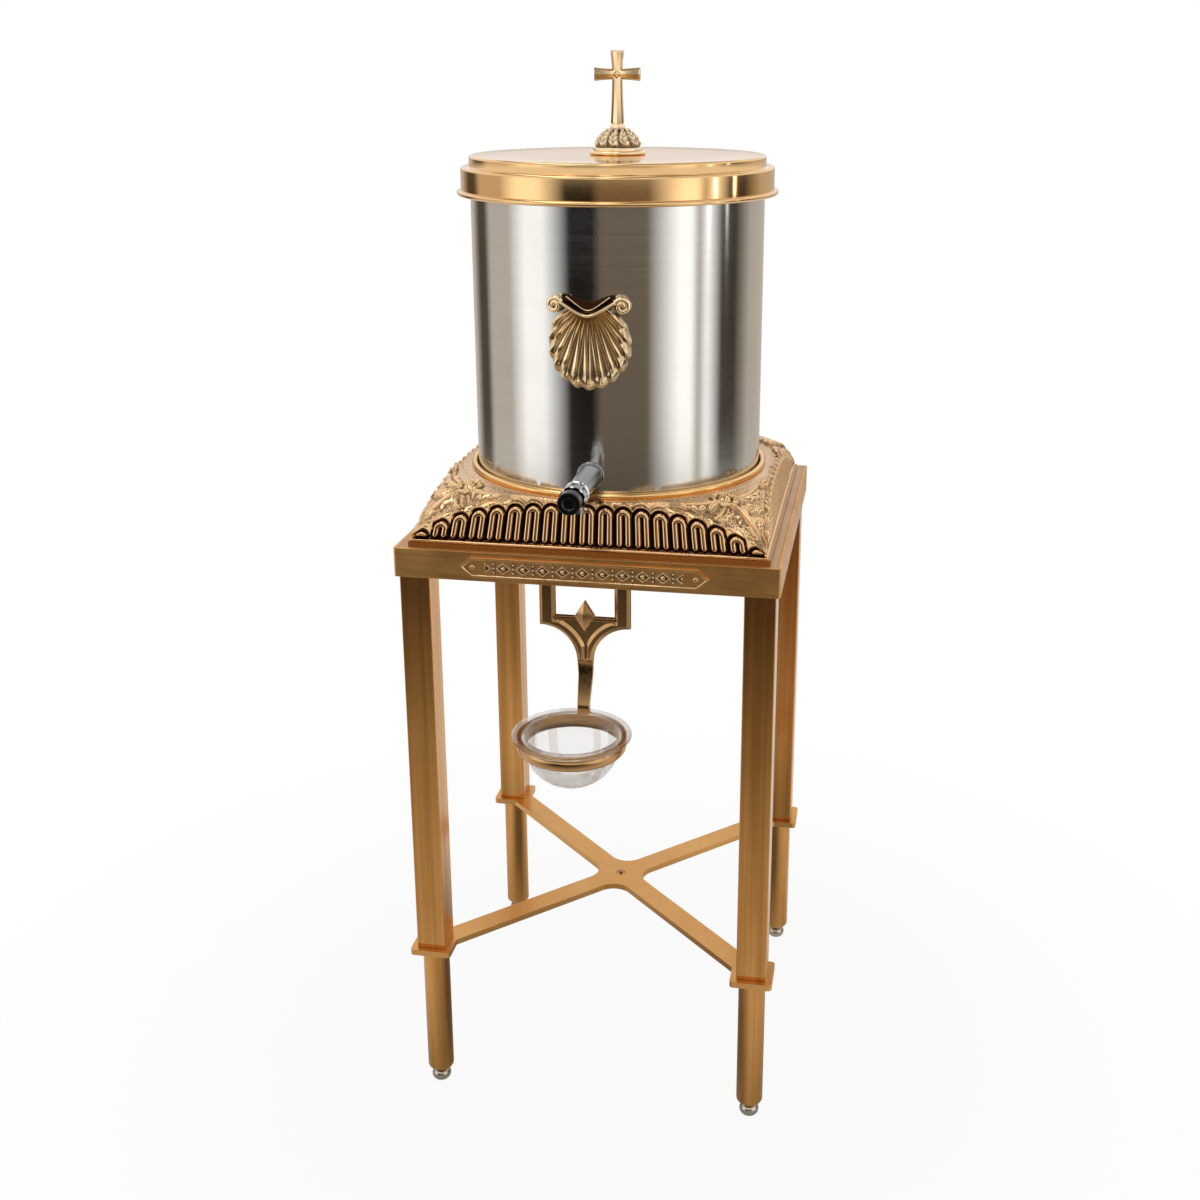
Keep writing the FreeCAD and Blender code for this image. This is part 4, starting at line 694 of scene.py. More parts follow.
def on_tank(x, z, proud):
    """Points that stand proud of the tank's front."""
    return np.stack([x, -np.sqrt(TANK_RADIUS ** 2 - x ** 2) - proud, z], -1)


def lip_line(share):
    """Dipping lower lip of the band, for share from -1 at its left end to 1 at its right."""
    dip = (np.sqrt(share ** 2 + LIP_ROUNDING) - math.sqrt(LIP_ROUNDING)) / (
        math.sqrt(1 + LIP_ROUNDING) - math.sqrt(LIP_ROUNDING))
    return LIP_HALF * share, LIP_LOW_Z + (LIP_HIGH_Z - LIP_LOW_Z) * dip


def with_back(front, value):
    """Rows over the fan's front, carried on over its back and round its sides with one value."""
    back = np.full((SHELL_BACK_ROWS, front.shape[1]), value)
    return np.pad(np.vstack([front, back, front[:1]]), ((0, 0), (1, 1)), constant_values=value)


def shell_fan(rows=72, columns=313):
    """Thin ridges with hollow valleys between them, each ending in a bulb at the rim; and the painted shade
    in the valleys.
    """
    step = math.radians(SHELL_RIB_DEG)
    turn = np.linspace(-step, step, columns)[None, :] * SHELL_RIBS / 2
    share = np.linspace(0, 1, rows)[:, None]
    from_rib = np.abs((turn / step + 0.5) % 1 - 0.5)
    reach = SHELL_LENGTH * np.cos(SHELL_NARROWING * turn) * (1 - 0.03 * (2 * from_rib) ** 2)
    start = LIP_DEPTH / (np.cos(turn) + LIP_SLOPE * np.abs(np.sin(turn)))
    length = start + (reach - start) * share
    x, z = length * np.sin(turn), SHELL_TIP_Z - length * np.cos(turn)
    body = SHELL_RIM_PROUD + (SHELL_PROUD - SHELL_RIM_PROUD) * bulge(share, 4)
    aside = from_rib * length * step
    line = np.clip(1 - aside / SHELL_RIDGE_HALF, 0, 1)
    valley = (1 - 2 * from_rib) ** 2
    bulb = ridge(np.hypot(aside, reach - SHELL_BULB_INSET - length), SHELL_BULB_RADIUS)
    fade = smooth_step(1.0, 0.9, share)
    proud = body + fade * (SHELL_VALLEY_RISE * valley + SHELL_RIDGE_RISE * line) + SHELL_BULB_RISE * bulb
    # Painted shade: valleys darken towards the rim and near the tip; ridges and bulbs stay bright
    deep = (0.04 + 0.5 * smooth_step(0.65, 0.95, share)) * (1 - np.maximum(line, bulb))
    deep = np.maximum(deep, 0.35 * smooth_step(0.12, 0.02, share))
    # The rim goes back to the tank all round, and a plain back closes the fan
    back = np.linspace(rows - 1, 0, SHELL_BACK_ROWS).astype(int)
    x, z = [np.pad(np.vstack([value, value[back], value[:1]]), ((0, 0), (1, 1)), "edge") for value in (x, z)]
    return grid_part(on_tank(x, z, with_back(proud, SHELL_SEAT))), with_back(deep, 1.0)


def shell_band(columns=61):
    """Sloping face from the lip up to the tank, closed at both ends, which is painted dark as shade."""
    share = np.pad(np.linspace(-1, 1, columns), 1, "edge")
    x, z = lip_line(share)
    rise = BAND_RISE - BAND_END_DROP * share ** 2
    rows = []
    for up, proud, shift in BAND_ROWS:
        out = np.full(len(share), proud)
        out[[0, -1]] = SHELL_SEAT
        rows.append(on_tank(x, z + rise * up + shift, out))
    return grid_part(np.array(rows))


def volute(side, steps=90):
    """Scroll that curls inward from the end of the lip."""
    turn = np.linspace(0, 2 * math.pi * VOLUTE_TURNS, steps)
    share = turn / turn[-1]
    radius = VOLUTE_RADIUS * (1 - VOLUTE_CURL * share)
    bearing = math.radians(VOLUTE_START_DEG) - turn
    x = side * (VOLUTE_PLACE[0] + radius * np.cos(bearing))
    z = VOLUTE_PLACE[1] + radius * np.sin(bearing)
    path = on_tank(x, z, VOLUTE_PROUD + VOLUTE_EYE_RISE * share)
    return tube_part(path, VOLUTE_BAR - VOLUTE_TAPER * share)


def volute_pad(side, steps=49):
    turn = np.linspace(0, 2 * math.pi, steps)[None, :]
    share, proud = np.array(PAD_PROFILE).T[..., None]
    radius = share * (VOLUTE_RADIUS + PAD_MARGIN)
    x = side * VOLUTE_PLACE[0] + radius * np.cos(turn)
    return grid_part(on_tank(x, VOLUTE_PLACE[1] + radius * np.sin(turn), proud))


def shell_ornament():
    x, z = lip_line(np.linspace(-1, 1, 61))
    lip = tube_part(on_tank(x, z, LIP_PROUD), LIP_RADIUS)
    bead = tube_part(on_tank(BEAD_SHARE * x, z + BEAD_RISE, BEAD_PROUD), BEAD_RADIUS)
    # Painted shade: the band fully dark, the discs behind the volutes half dark
    parts = [shell_fan(), (shell_band(), 1.0), (lip, 0.0), (bead, 0.0)]
    parts += [(volute(side), 0.0) for side in (-1, 1)]
    parts += [(volute_pad(side), 0.5) for side in (-1, 1)]
    shell = shade_painted_object("shell_scallop", *parts)
    add_piece(shell, "tank_unit", "polished_brass", ORNAMENT_BRASS, "shell_ornament")


# Finial: leafy dome and the cross on it
DOME_RADIUS = 26.0
FLANGE_HEIGHT = 4.0
DOME_RISE = 24.8
DOME_LEAVES = 11
DOME_LEAF_SWAY = 0.35
DOME_LEAF_VEINS = 5
DOME_LEAF_RELIEF = 2.6
SEAT_RADIUS = 7.5
SEAT_EDGE = 0.6


def dome_level(share, turn):
    """Swaying leaves above a plain band, for share from 0 at the dome's foot to 1 at its seat."""
    sway = DOME_LEAVES * turn / (2 * math.pi) + DOME_LEAF_SWAY * np.sin(math.pi * share)
    across = np.abs((sway % 1) - 0.5) * 2
    blade = bulge(across / (0.35 + 0.6 * np.sin(math.pi * share)))
    veins = 0.7 + 0.3 * np.cos(2 * math.pi * (share * DOME_LEAF_VEINS - across * 0.9))
    level = blade * veins * (1 - 0.5 * ridge(across, 0.12))
    level = level * smooth_step(0.12, 0.22, share) * smooth_step(1.0, 0.94, share)
    return np.maximum(level, smooth_step(0.12, 0.1, share))


def finial_dome(segments=240, rows=70):
    base_z, seat_z = DOME_LOW.z, DOME_HIGH.z
    flange_z, edge = base_z + FLANGE_HEIGHT, FLANGE_HEIGHT / 2
    ball = (DOME_RADIUS ** 2 + DOME_RISE ** 2) / (2 * DOME_RISE)
    centre_z = flange_z + DOME_RISE - ball
    profile = [(0, base_z), (DOME_HIGH.x - edge, base_z)]
    profile += arc_points((DOME_HIGH.x - edge, base_z + edge), edge, -90, 90, 13)
    profile += [(DOME_RADIUS + 1.0, flange_z), (DOME_RADIUS + 0.2, flange_z - 0.6)]
    foot = math.atan2(flange_z - centre_z, DOME_RADIUS)
    top = math.acos(SEAT_RADIUS / ball)
    rise = np.linspace(foot, top, rows)[:, None]
    turn = full_turn(segments)[None, :]
    share = (rise - foot) / (top - foot)
    level = dome_level(share, turn)
    near_seat = smooth_step(1.0, 0.96, share)
    radius = ball + DOME_LEAF_RELIEF * (level - 1) * near_seat
    dome = np.stack([radius * np.cos(rise) * np.cos(turn), radius * np.cos(rise) * np.sin(turn),
                     centre_z + radius * np.sin(rise)], -1)
    seat = turned_part([(SEAT_RADIUS, centre_z + ball * math.sin(top)), (SEAT_RADIUS, seat_z - SEAT_EDGE),
                        (SEAT_RADIUS - SEAT_EDGE, seat_z), (0, seat_z)], 48)
    # Painted shade between the leaves, fading out towards the seat
    finial = shade_painted_object("finial_leaf_dome", (turned_part(profile, segments), 0.0),
                              (grid_part(dome, wrap=True), 0.9 * (1 - level) ** 1.5 * near_seat), (seat, 0.0))
    add_piece(finial, "lid", "polished_brass", ORNAMENT_BRASS, "finial_dome")


CROSS_ARM_DROP = 23.2
CROSSING_Z = CROSS_HIGH.z - CROSS_ARM_DROP
CROSS_NECK = 5.0
CROSS_END = 6.7
CROSS_FLARE = 1.7
CROSS_JEWEL = 4.4
CROSS_GROUND = 0.38
# Half of an arm's section: shares of its half width and half depth; the border stands at the edges
CROSS_SECTION = ((-1.0, 0.0), (-1.0, 0.5), (-0.94, 0.62), (-0.84, 0.62), (-0.74, 0.38), (0.0, 0.94),
                 (0.74, 0.38), (0.84, 0.62), (0.94, 0.62), (1.0, 0.5))
# Rings of the jewel at the crossing: shares of its size and of the cross's half depth
JEWEL_RINGS = ((1.0, 0.5), (1.0, 0.96), (0.72, 0.98), (0.6, 0.8), (0, 0.98))


def cross_arm(length, turn_deg, steps=14):
    """Ridged arm, which widens to its end; its raised border starts outside the crossing."""
    depth = (CROSS_HIGH.y - CROSS_LOW.y) / 2
    border = 1.05 * CROSS_NECK
    along = np.concatenate([[0, 0.9 * CROSS_NECK], border + (length - border) * np.linspace(0, 1, steps),
                            [length, length]])
    width = CROSS_NECK + (CROSS_END - CROSS_NECK) * (along / length) ** CROSS_FLARE
    size = np.concatenate([np.ones(steps + 1), [0.97, 0.85, 0]])
    along[-3] -= 0.3
    section = np.array(CROSS_SECTION + tuple((-x, -y) for x, y in CROSS_SECTION))
    across = (width * size)[:, None] * section[:, 0]
    out = size[:, None] * depth * section[:, 1]
    bordered = (np.abs(section[:, 0]) > 0.8) & (np.abs(section[:, 1]) > CROSS_GROUND)
    out[:2, bordered] = depth * CROSS_GROUND * np.sign(section[bordered, 1])
    turn = math.radians(turn_deg)
    points = np.stack([across * math.cos(turn) + along[:, None] * math.sin(turn), -out,
                       along[:, None] * math.cos(turn) - across * math.sin(turn) + CROSSING_Z], -1)
    return grid_part(points, wrap=True)


def finial_cross():
    lengths = (CROSS_ARM_DROP, CROSS_HIGH.x, CROSSING_Z - DOME_HIGH.z, CROSS_HIGH.x)
    parts = [cross_arm(length, 90 * number) for number, length in enumerate(lengths)]
    jewel = [(0, CROSS_JEWEL), (CROSS_JEWEL, 0), (0, -CROSS_JEWEL), (-CROSS_JEWEL, 0)]
    for tip in (CROSS_LOW.y, CROSS_HIGH.y):
        rings = [[(x * size, tip * out, z * size + CROSSING_Z) for x, z in jewel]
                 for size, out in JEWEL_RINGS]
        parts.append(grid_part(np.array(rings), wrap=True))
    cross = new_object("finial_cross_moulded", *parts)
    add_piece(cross, "lid", "polished_brass", CROSS_BRASS, "finial_cross", crease_deg=20)


# Nameplate: a running band of lozenges and bosses inside a bead
PLATE_SHEET = 1.8
PLATE_POINT = 10.5
PLATE_BEAD = 1.5
PLATE_RELIEF = 1.7
RELIEF_HALF = (100.0, 7.0)
RELIEF_PITCH = 20.0
RELIEF_SINK = 0.05
LOZENGE_HALF = (8.2, 6.2)
BOSS_RADIUS = 2.6
STUD_RADIUS = 1.3
STUD_SPACING = 4.3


def nameplate_relief():
    x = np.linspace(-1, 1, 601)[None, :] * RELIEF_HALF[0]
    z = np.linspace(-1, 1, 43)[:, None] * RELIEF_HALF[1]
    cell = (x + RELIEF_PITCH / 2) % RELIEF_PITCH - RELIEF_PITCH / 2
    lozenge = np.abs(cell) / LOZENGE_HALF[0] + np.abs(z) / LOZENGE_HALF[1]
    level = np.maximum(ridge(lozenge - 0.84, 0.16), ridge(np.hypot(cell, z), BOSS_RADIUS))
    between = x % RELIEF_PITCH - RELIEF_PITCH / 2
    for up in (-STUD_SPACING, 0, STUD_SPACING):
        level = np.maximum(level, ridge(np.hypot(between, z - up), STUD_RADIUS))
    level = level * smooth_step(RELIEF_HALF[0], RELIEF_HALF[0] - 1, np.abs(x))
    level = level * smooth_step(RELIEF_HALF[1], RELIEF_HALF[1] - 0.7, np.abs(z))
    y = PLATE_HIGH.y - PLATE_SHEET + RELIEF_SINK - PLATE_RELIEF * level
    part = grid_part(np.stack(np.broadcast_arrays(x, y, z + PLATE_MIDDLE_Z), -1))
    # Painted shade: darker ground between the shapes and dark rims on their lower slopes
    rim = smooth_step(0.02, 0.15, level) * smooth_step(0.75, 0.35, level)
    relief = shade_painted_object("nameplate_relief", (part, 0.35 * (1 - level) + 0.6 * rim))
    float_attribute(relief, "stipple", 1 - level)
    add_piece(relief, "stand", "polished_brass", BASE_BRASS)


def nameplate_border():
    """Polished bead round the edge of the plate."""
    end, half = PLATE_HIGH.x - PLATE_BEAD, (PLATE_HIGH.z - PLATE_LOW.z) / 2 - PLATE_BEAD
    shoulder = end - PLATE_POINT
    upper = [(-end, 0), (-shoulder, half), (shoulder, half)]
    outline = upper + [(-x, -z) for x, z in upper]
    y = PLATE_LOW.y + PLATE_BEAD
    corners = [np.array([x, y, z + PLATE_MIDDLE_Z]) for x, z in outline]
    bars = [tube_part([first, (first + last) / 2, last], PLATE_BEAD, 10)
            for first, last in zip(corners, corners[1:] + corners[:1])]
    border = new_object("nameplate_bead", *bars)
    add_piece(border, "stand", "polished_brass", CROSS_BRASS)


# Drip bracket; a drop is measured from the apron's lower edge
STRAP_SPACING = 76.4
STRAP_WIDTH = 16.0
CROSSBAR_DROP = 33.5
CROSSBAR_HEIGHT = 3.4
CROSSBAR_OVERLAP = 1.0
ELBOW_DROP = 44.0
ARM_FOOT_DROP = 81.0
ARM_FOOT_HALF = 8.2
ARM_WIDTH = 11.0
ARM_TUCK = 3.0
ARM_CHAMFER = 3.4
ARM_RISE = 2.6
STEM_BEND_DROP = 96.0
STEM_FOOT_DROP = 123.0
STEM_END_HALF = 6.2
STEM_THICKNESS = 7.4
STEM_ROUNDING = 1.6
LUG_OVERLAP = 1.0
LUG_REACH = 8.0
FIELD_DEPTH = 2.5
BRACKET_THICKNESS = 7.0
BRACKET_ROUNDING = 0.4
DIAMOND_HEIGHT = 32.2
DIAMOND_WIDTH = 20.0
DIAMOND_RISE = 17.2
DIAMOND_RELIEF = 5.0


def mirrored(points):
    return [(-x, z) for x, z in reversed(points)]


def raise_front(obj, chamfer, rise):
    """Raises the front of a plate inside a chamfer, both in millimetres."""
    mesh = bmesh.new()
    mesh.from_mesh(obj.data)
    bmesh.ops.recalc_face_normals(mesh, faces=mesh.faces)
    front = min(mesh.faces, key=lambda face: face.calc_center_median().y)
    bmesh.ops.inset_region(mesh, faces=[front], thickness=chamfer * MM, depth=rise * MM, use_even_offset=True)
    mesh.to_mesh(obj.data)
    mesh.free()


def bracket_stem(front, back, top):
    """Stem that comes down upright, leans forward and ends behind the ring."""
    bend, foot = APRON_BOTTOM_Z - STEM_BEND_DROP, APRON_BOTTOM_Z - STEM_FOOT_DROP
    lug_front, lug_back = RING_HIGH.y - LUG_OVERLAP, RING_HIGH.y + LUG_REACH
    stem_front, lug_top = lug_back - STEM_THICKNESS, RING_HIGH.z - 1
    steps = [(front + 2.5, back, top, ARM_FOOT_HALF), (front + 3.4, back, bend, ARM_FOOT_HALF - 0.6)]
    steps += [(y, lug_back, z, STEM_END_HALF) for y, z in (
        (stem_front, foot), (stem_front, lug_top), (lug_front, lug_top - 0.2), (lug_front, BRACKET_LOW.z))]
    rings = [[(-half, y0, z), (half, y0, z), (half, y1, z), (-half, y1, z)] for y0, y1, z, half in steps]
    return grid_part(np.array(rings), wrap=True)


def bracket_diamond(front, back, middle):
    """Four-sided stud, pointed in front."""
    half_w, half_h = DIAMOND_WIDTH / 2, DIAMOND_HEIGHT / 2
    corners = [(0, half_h), (half_w, 0), (0, -half_h), (-half_w, 0)]
    rings = [[(x * size, y, z * size + middle) for x, z in corners]
             for size, y in ((0, front - DIAMOND_RELIEF), (1, front), (1, back))]
    return grid_part(np.array(rings), wrap=True)


def drip_bracket():
    outer = (STRAP_SPACING + STRAP_WIDTH) / 2
    inner = outer - STRAP_WIDTH
    top, crossbar = BRACKET_HIGH.z, APRON_BOTTOM_Z - CROSSBAR_DROP
    elbow, arm_foot = APRON_BOTTOM_Z - ELBOW_DROP, APRON_BOTTOM_Z - ARM_FOOT_DROP
    back = BRACKET_HIGH.y
    front = back - BRACKET_THICKNESS
    reach, rise = outer - ARM_FOOT_HALF, elbow - arm_foot
    radius = (reach ** 2 + rise ** 2) / (2 * reach)
    centre = (-ARM_FOOT_HALF - radius, arm_foot)
    corner_deg = math.degrees(math.atan2(rise, -outer - centre[0]))
    outside = [(-outer, top), (-outer, elbow)] + arc_points(centre, radius, corner_deg, 0)[1:]
    field = radius + ARM_WIDTH
    arm_top = crossbar - ARM_TUCK
    field_deg = math.degrees(math.asin((arm_top - arm_foot) / field))
    point_deg = math.degrees(math.acos(-centre[0] / field))
    inside = arc_points(centre, field, point_deg, field_deg)
    arm = outside + [(0, arm_foot)] + inside + [(-inner, arm_top), (-inner, top)]
    sheet = outside + mirrored(outside) + [(inner, top), (inner, crossbar), (-inner, crossbar), (-inner, top)]
    bar_end, bar_foot = inner + CROSSBAR_OVERLAP, crossbar - CROSSBAR_HEIGHT
    bar = [(-bar_end, bar_foot), (-bar_end, crossbar), (bar_end, crossbar), (bar_end, bar_foot)]
    middle = crossbar + DIAMOND_RISE - DIAMOND_HEIGHT / 2
    # The backs lie at different depths, so that no two faces share a plane
    pieces = {
        "bracket_sheet": plate_part(sheet, front + FIELD_DEPTH, back),
        "bracket_arm_left": plate_part(arm, front + ARM_RISE, back - 0.2),
        "bracket_arm_right": plate_part(mirrored(arm), front + ARM_RISE, back - 0.2),
        "bracket_crossbar": plate_part(bar, front + 0.4, back - 0.4),
        "bracket_stem": bracket_stem(front, back, arm_foot + 1),
        "bracket_diamond": bracket_diamond(front, back - 0.3, middle),
    }
    for name, part in pieces.items():
        piece = new_object(name, part)
        if "arm" in name:
            raise_front(piece, ARM_CHAMFER, ARM_RISE)
        soften_edges(piece, STEM_ROUNDING if name == "bracket_stem" else BRACKET_ROUNDING)
        stands_for = ["drip_bracket"] if name == "bracket_sheet" else []
        add_piece(piece, "stand", "antique_brass", BRACKET_BRASS, *stands_for, crease_deg=25)


# Drip ring, collar and lid
def drip_ring(segments=160):
    """Ring with a rounded top edge, a groove under it and a rounded foot; painted shade on its inside wall.
    """
    inner, outer, top, bottom = RING_WALL_INNER, RING_HIGH.x, RING_HIGH.z, RING_LOW.z
    profile = [(inner, bottom), (inner, top - 0.8), (inner + 0.6, top - 0.1), (inner + 1.5, top)]
    profile += [(outer - back, top - drop) for back, drop in (
        (1.2, 0), (0.3, 0.3), (0, 1.2), (0.4, 2.4), (1.1, 3.0), (1.2, 3.8), (0.6, 4.4), (0.2, 5.5))]
    profile += [(outer - back, bottom + up) for back, up in ((0.2, 4), (0.7, 2.2), (2.0, 0.6), (3.4, 0))]
    profile += profile[:1]
    part = turned_part(profile, segments, (0, (RING_LOW.y + RING_HIGH.y) / 2))
    # Painted shade darkens the inner wall
    inside = np.array([radius < inner + 0.7 for radius, _ in profile], float)
    ring = shade_painted_object("drip_ring_moulded", (part, np.repeat(0.25 * inside, segments)))
    add_piece(ring, "stand", "antique_brass", RING_BRASS, "drip_ring")


COLLAR_BEAD = 3.1
COLLAR_LIP_DROP = 3.6


def collar():
    """Collar with a bead on top and a thin lip inside, clear of the tank."""
    inner, bead = TANK_RADIUS + LINER_CLEARANCE, (COLLAR_EDGE - COLLAR_BEAD, COLLAR_HIGH.z - COLLAR_BEAD)
    lip = COLLAR_HIGH.z - COLLAR_LIP_DROP
    profile = [(inner, COLLAR_LOW.z), (inner, lip - 0.8), (inner + 0.4, lip - 0.2), (inner + 1.0, lip)]
    profile += arc_points(bead, COLLAR_BEAD, 190, -60)
    profile += [(COLLAR_EDGE - 1.6, COLLAR_LOW.z), (inner, COLLAR_LOW.z)]
    ring = new_object("collar_spun", turned_part(profile, 288))
    add_piece(ring, "stand", "polished_brass", TRIM_BRASS, "collar_ring", crease_deg=40)


LID_SHEET = 1.5
LID_BEAD = 2.6
LID_BEAD_OVERHANG = 4.2
LID_STEP = 8.8
LID_TIER = 10.9
LID_CORNER = 3.0
LID_TIER_CORNER = 2.5


def lid_cover():
    """Two-tier spun cover with a rolled bead along its lower edge."""
    skirt, top, step = LID_HIGH.x - LID_BEAD_OVERHANG, LID_HIGH.z, LID_HIGH.z - LID_TIER
    tier, bead = skirt - LID_STEP, (LID_HIGH.x - LID_BEAD, LID_LOW.z + LID_BEAD)
    seam_deg = math.degrees(math.acos((skirt - bead[0]) / LID_BEAD))
    profile = [(0, top), (tier / 3, top), (2 * tier / 3, top)]
    profile += arc_points((tier - LID_TIER_CORNER, top - LID_TIER_CORNER), LID_TIER_CORNER, 90, 0, 10)
    profile += [(tier, step + 0.8), (tier + 0.3, step + 0.2), (tier + 1.0, step)]
    profile += arc_points((skirt - LID_CORNER, step - LID_CORNER), LID_CORNER, 90, 0, 10)
    profile += arc_points(bead, LID_BEAD, seam_deg, -seam_deg, 28)
    wall, tier_wall, under = skirt - LID_SHEET, tier - LID_SHEET, top - LID_SHEET
    profile += [(wall, bead[1]), (wall, step - LID_CORNER), (skirt - LID_CORNER, step - LID_SHEET),
                (tier_wall, step - LID_SHEET), (tier_wall, top - LID_TIER_CORNER),
                (tier - LID_TIER_CORNER, under), (0, under)]
    cover = new_object("lid_spun", turned_part(profile, 288))
    add_piece(cover, "lid", "lid_brass", LID_BRASS, "lid_cover", crease_deg=40)


# Chromed pieces on the tap; places on the sleeve are measured back from its front
TAP_PETALS = 6
PETAL_FROM = 6.0
PETAL_TO = 13.0
PETAL_HALF = 4.6
LOOP_PLACE = 4.6
LOOP_RADIUS = 2.3
FRONT_BAND = 1.0
BACK_BAND = 20.6
TAP_SLEEVE_LENGTH = 22.0
TAP_SLEEVE_RADIUS = 11.6
TAP_SLEEVE_RELIEF = 1.6
TAP_SLEEVE_BORE = 0.72
# Section of the flange: radius, and how far it stands out from the tank
TAP_FLANGE = ((8.0, -0.8), (14.0, -0.8), (14.0, 1.6), (13.6, 2.2), (12.8, 2.6), (11.0, 2.7), (8.0, 2.7))


def round_tap(radius, turn, y):
    """Points round the axis of the tap, wrapped into a part."""
    points = np.broadcast_arrays(radius * np.cos(turn), y, TAP_Z + radius * np.sin(turn))
    return grid_part(np.stack(points, -1), wrap=True)


def tap_sleeve(segments=180, rows=70):
    """Chromed sleeve over the end of the tap: raised petals with painted shade in the hollows between them,
    and a band at each end.
    """
    turn = full_turn(segments)
    place = np.linspace(0, TAP_SLEEVE_LENGTH, rows)[:, None]
    cell = 2 * math.pi * TAP_SLEEVE_RADIUS / TAP_PETALS
    count = TAP_PETALS * turn / (2 * math.pi)
    across, between = (count % 1 - 0.5) * cell, ((count + 0.5) % 1 - 0.5) * cell
    past_petal = np.maximum(place - PETAL_TO, 0) + np.maximum(PETAL_FROM - place, 0)
    petal = ridge(np.hypot(across, past_petal) - PETAL_HALF, 1.0)
    loop = ridge(np.hypot(between, place - LOOP_PLACE) - LOOP_RADIUS, 0.8)
    bands = np.maximum(ridge(place - FRONT_BAND, 1.3), ridge(place - BACK_BAND, 1.2))
    level = np.maximum(np.maximum(petal, loop), bands)
    radius = TAP_SLEEVE_RADIUS + TAP_SLEEVE_RELIEF * (level - 0.4)
    bore = TAP_SLEEVE_BORE * radius
    radius = np.vstack([bore[:1], radius, bore[-1:], bore[:1]])
    y = BUTTON_HIGH.y + SLEEVE_GAP + np.vstack([place[:1], place, place[-1:], place[:1]])
    # Painted shade: the low ground between petals, loops and bands goes dark
    dark = np.pad(smooth_step(0.55, 0.1, level), ((1, 2), (0, 0)))
    sleeve = shade_painted_object("tap_sleeve", (round_tap(radius, turn, y), dark))
    add_piece(sleeve, "tank_unit", "chrome", CHROME_RELIEF)


def tap_flange(segments=96):
    """Thin chromed flange where the tap enters the tank."""
    radius, out = np.array(TAP_FLANGE + TAP_FLANGE[:1]).T[..., None]
    flange = new_object("tap_flange", round_tap(radius, full_turn(segments), -TANK_RADIUS - out))
    add_piece(flange, "tank_unit", "chrome", CHROME)


SPRING_WIRE = 0.6
SPRING_TURNS = 5


def return_spring(steps=240):
    """Coil behind the push button; the real coil shortens as the button goes in, and this one keeps its
    length.
    """
    low, high = span("return_spring")
    turn = np.linspace(0, 2 * math.pi * SPRING_TURNS, steps)
    coil = high.x - SPRING_WIRE
    y = np.linspace(low.y + SPRING_WIRE, high.y - SPRING_WIRE, steps)
    path = np.stack([coil * np.sin(turn), y, TAP_Z + coil * np.cos(turn)], -1)
    spring = new_object("return_coil", tube_part(path, SPRING_WIRE))
    add_piece(spring, "tank_unit", "fastener_steel", STEEL, "return_spring")
    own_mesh(spring)


EDGE_WIDTH = 0.6


def round_plain_edges():
    """Small bevels that catch the light along the edges of the sheet-metal pieces."""
    for name in SHEET_METALS:
        joined = NODES[name].modifiers.new("joined", "WELD")
        joined.merge_threshold = 0.01 * MM
        soften_edges(NODES[name], EDGE_WIDTH)


# Stage, in metres
FLOOR_SIZE = 8.0
FLOOR_SHADOW_SHARE = 0.07
# What metal mirrors of the floor, from the front to the back of this stretch of Y
FLOOR_STRETCH = (-2.2, -0.2)
FLOOR_TONES = ((0.2, (0.05, 0.042, 0.034)), (0.5, (0.27, 0.24, 0.2)), (1.0, (0.82, 0.8, 0.76)))


def floor():
    """White to the camera, with a soft shadow; mirrored in metal it goes dark towards the camera, and darker
    under the object as a painted shadow.
    """
    s = FLOOR_SIZE
    obj = mesh_object("floor", [(-s, -s, 0), (s, -s, 0), (s, s, 0), (-s, s, 0)], [(0, 1, 2, 3)])
    material, tree, shader = start_material("floor_white")
    connect(tree, shader, {"Base Color": (0.9, 0.9, 0.9, 1), "Roughness": 0.9})
    plain = shader.outputs[0]
    path = add_node(tree, "ShaderNodeLightPath").outputs
    place = place_on(tree)
    away = add_node(tree, "ShaderNodeVectorMath", {0: place}, operation="LENGTH").outputs["Value"]
    near = to_range(tree, away, FLOOR_SHADOW_SHARE, 0.0, 0.35, 0.9)
    shade = mix_shader(tree, near, emission(tree, WHITE), plain)
    tone = ramp(tree, to_range(tree, axes_of(tree, place)["Y"], 0.0, 1.0, *FLOOR_STRETCH), *FLOOR_TONES)
    # Painted shadow: what metal mirrors of the floor dims close to the middle of the stage
    under = to_range(tree, away, 0.25, 1.0, 0.12, 0.42)
    glossy = mix_shader(tree, path["Is Glossy Ray"], plain, emission(tree, tone, under))
    direct = maths(tree, "MAXIMUM", path["Is Camera Ray"], path["Is Transmission Ray"])
    set_surface(tree, mix_shader(tree, direct, glossy, shade))
    obj.data.materials.append(material)


ROOM_TONE = (0.34, 0.33, 0.31, 1)


def surroundings():
    """White backdrop for the camera and in metal and glass, and a soft grey light from all round."""
    world = bpy.data.worlds.new("studio")
    bpy.context.scene.world = world
    world.use_nodes = True
    tree = world.node_tree
    tree.nodes.clear()
    path = add_node(tree, "ShaderNodeLightPath").outputs
    seen = path["Is Camera Ray"]
    for kind in ("Is Glossy Ray", "Is Transmission Ray"):
        seen = maths(tree, "MAXIMUM", seen, path[kind])
    room, white = [add_node(tree, "ShaderNodeBackground", {"Color": colour, "Strength": 1.0}).outputs[0]
                   for colour in (ROOM_TONE, WHITE)]
    add_node(tree, "ShaderNodeOutputWorld", {"Surface": mix_shader(tree, seen, room, white)})


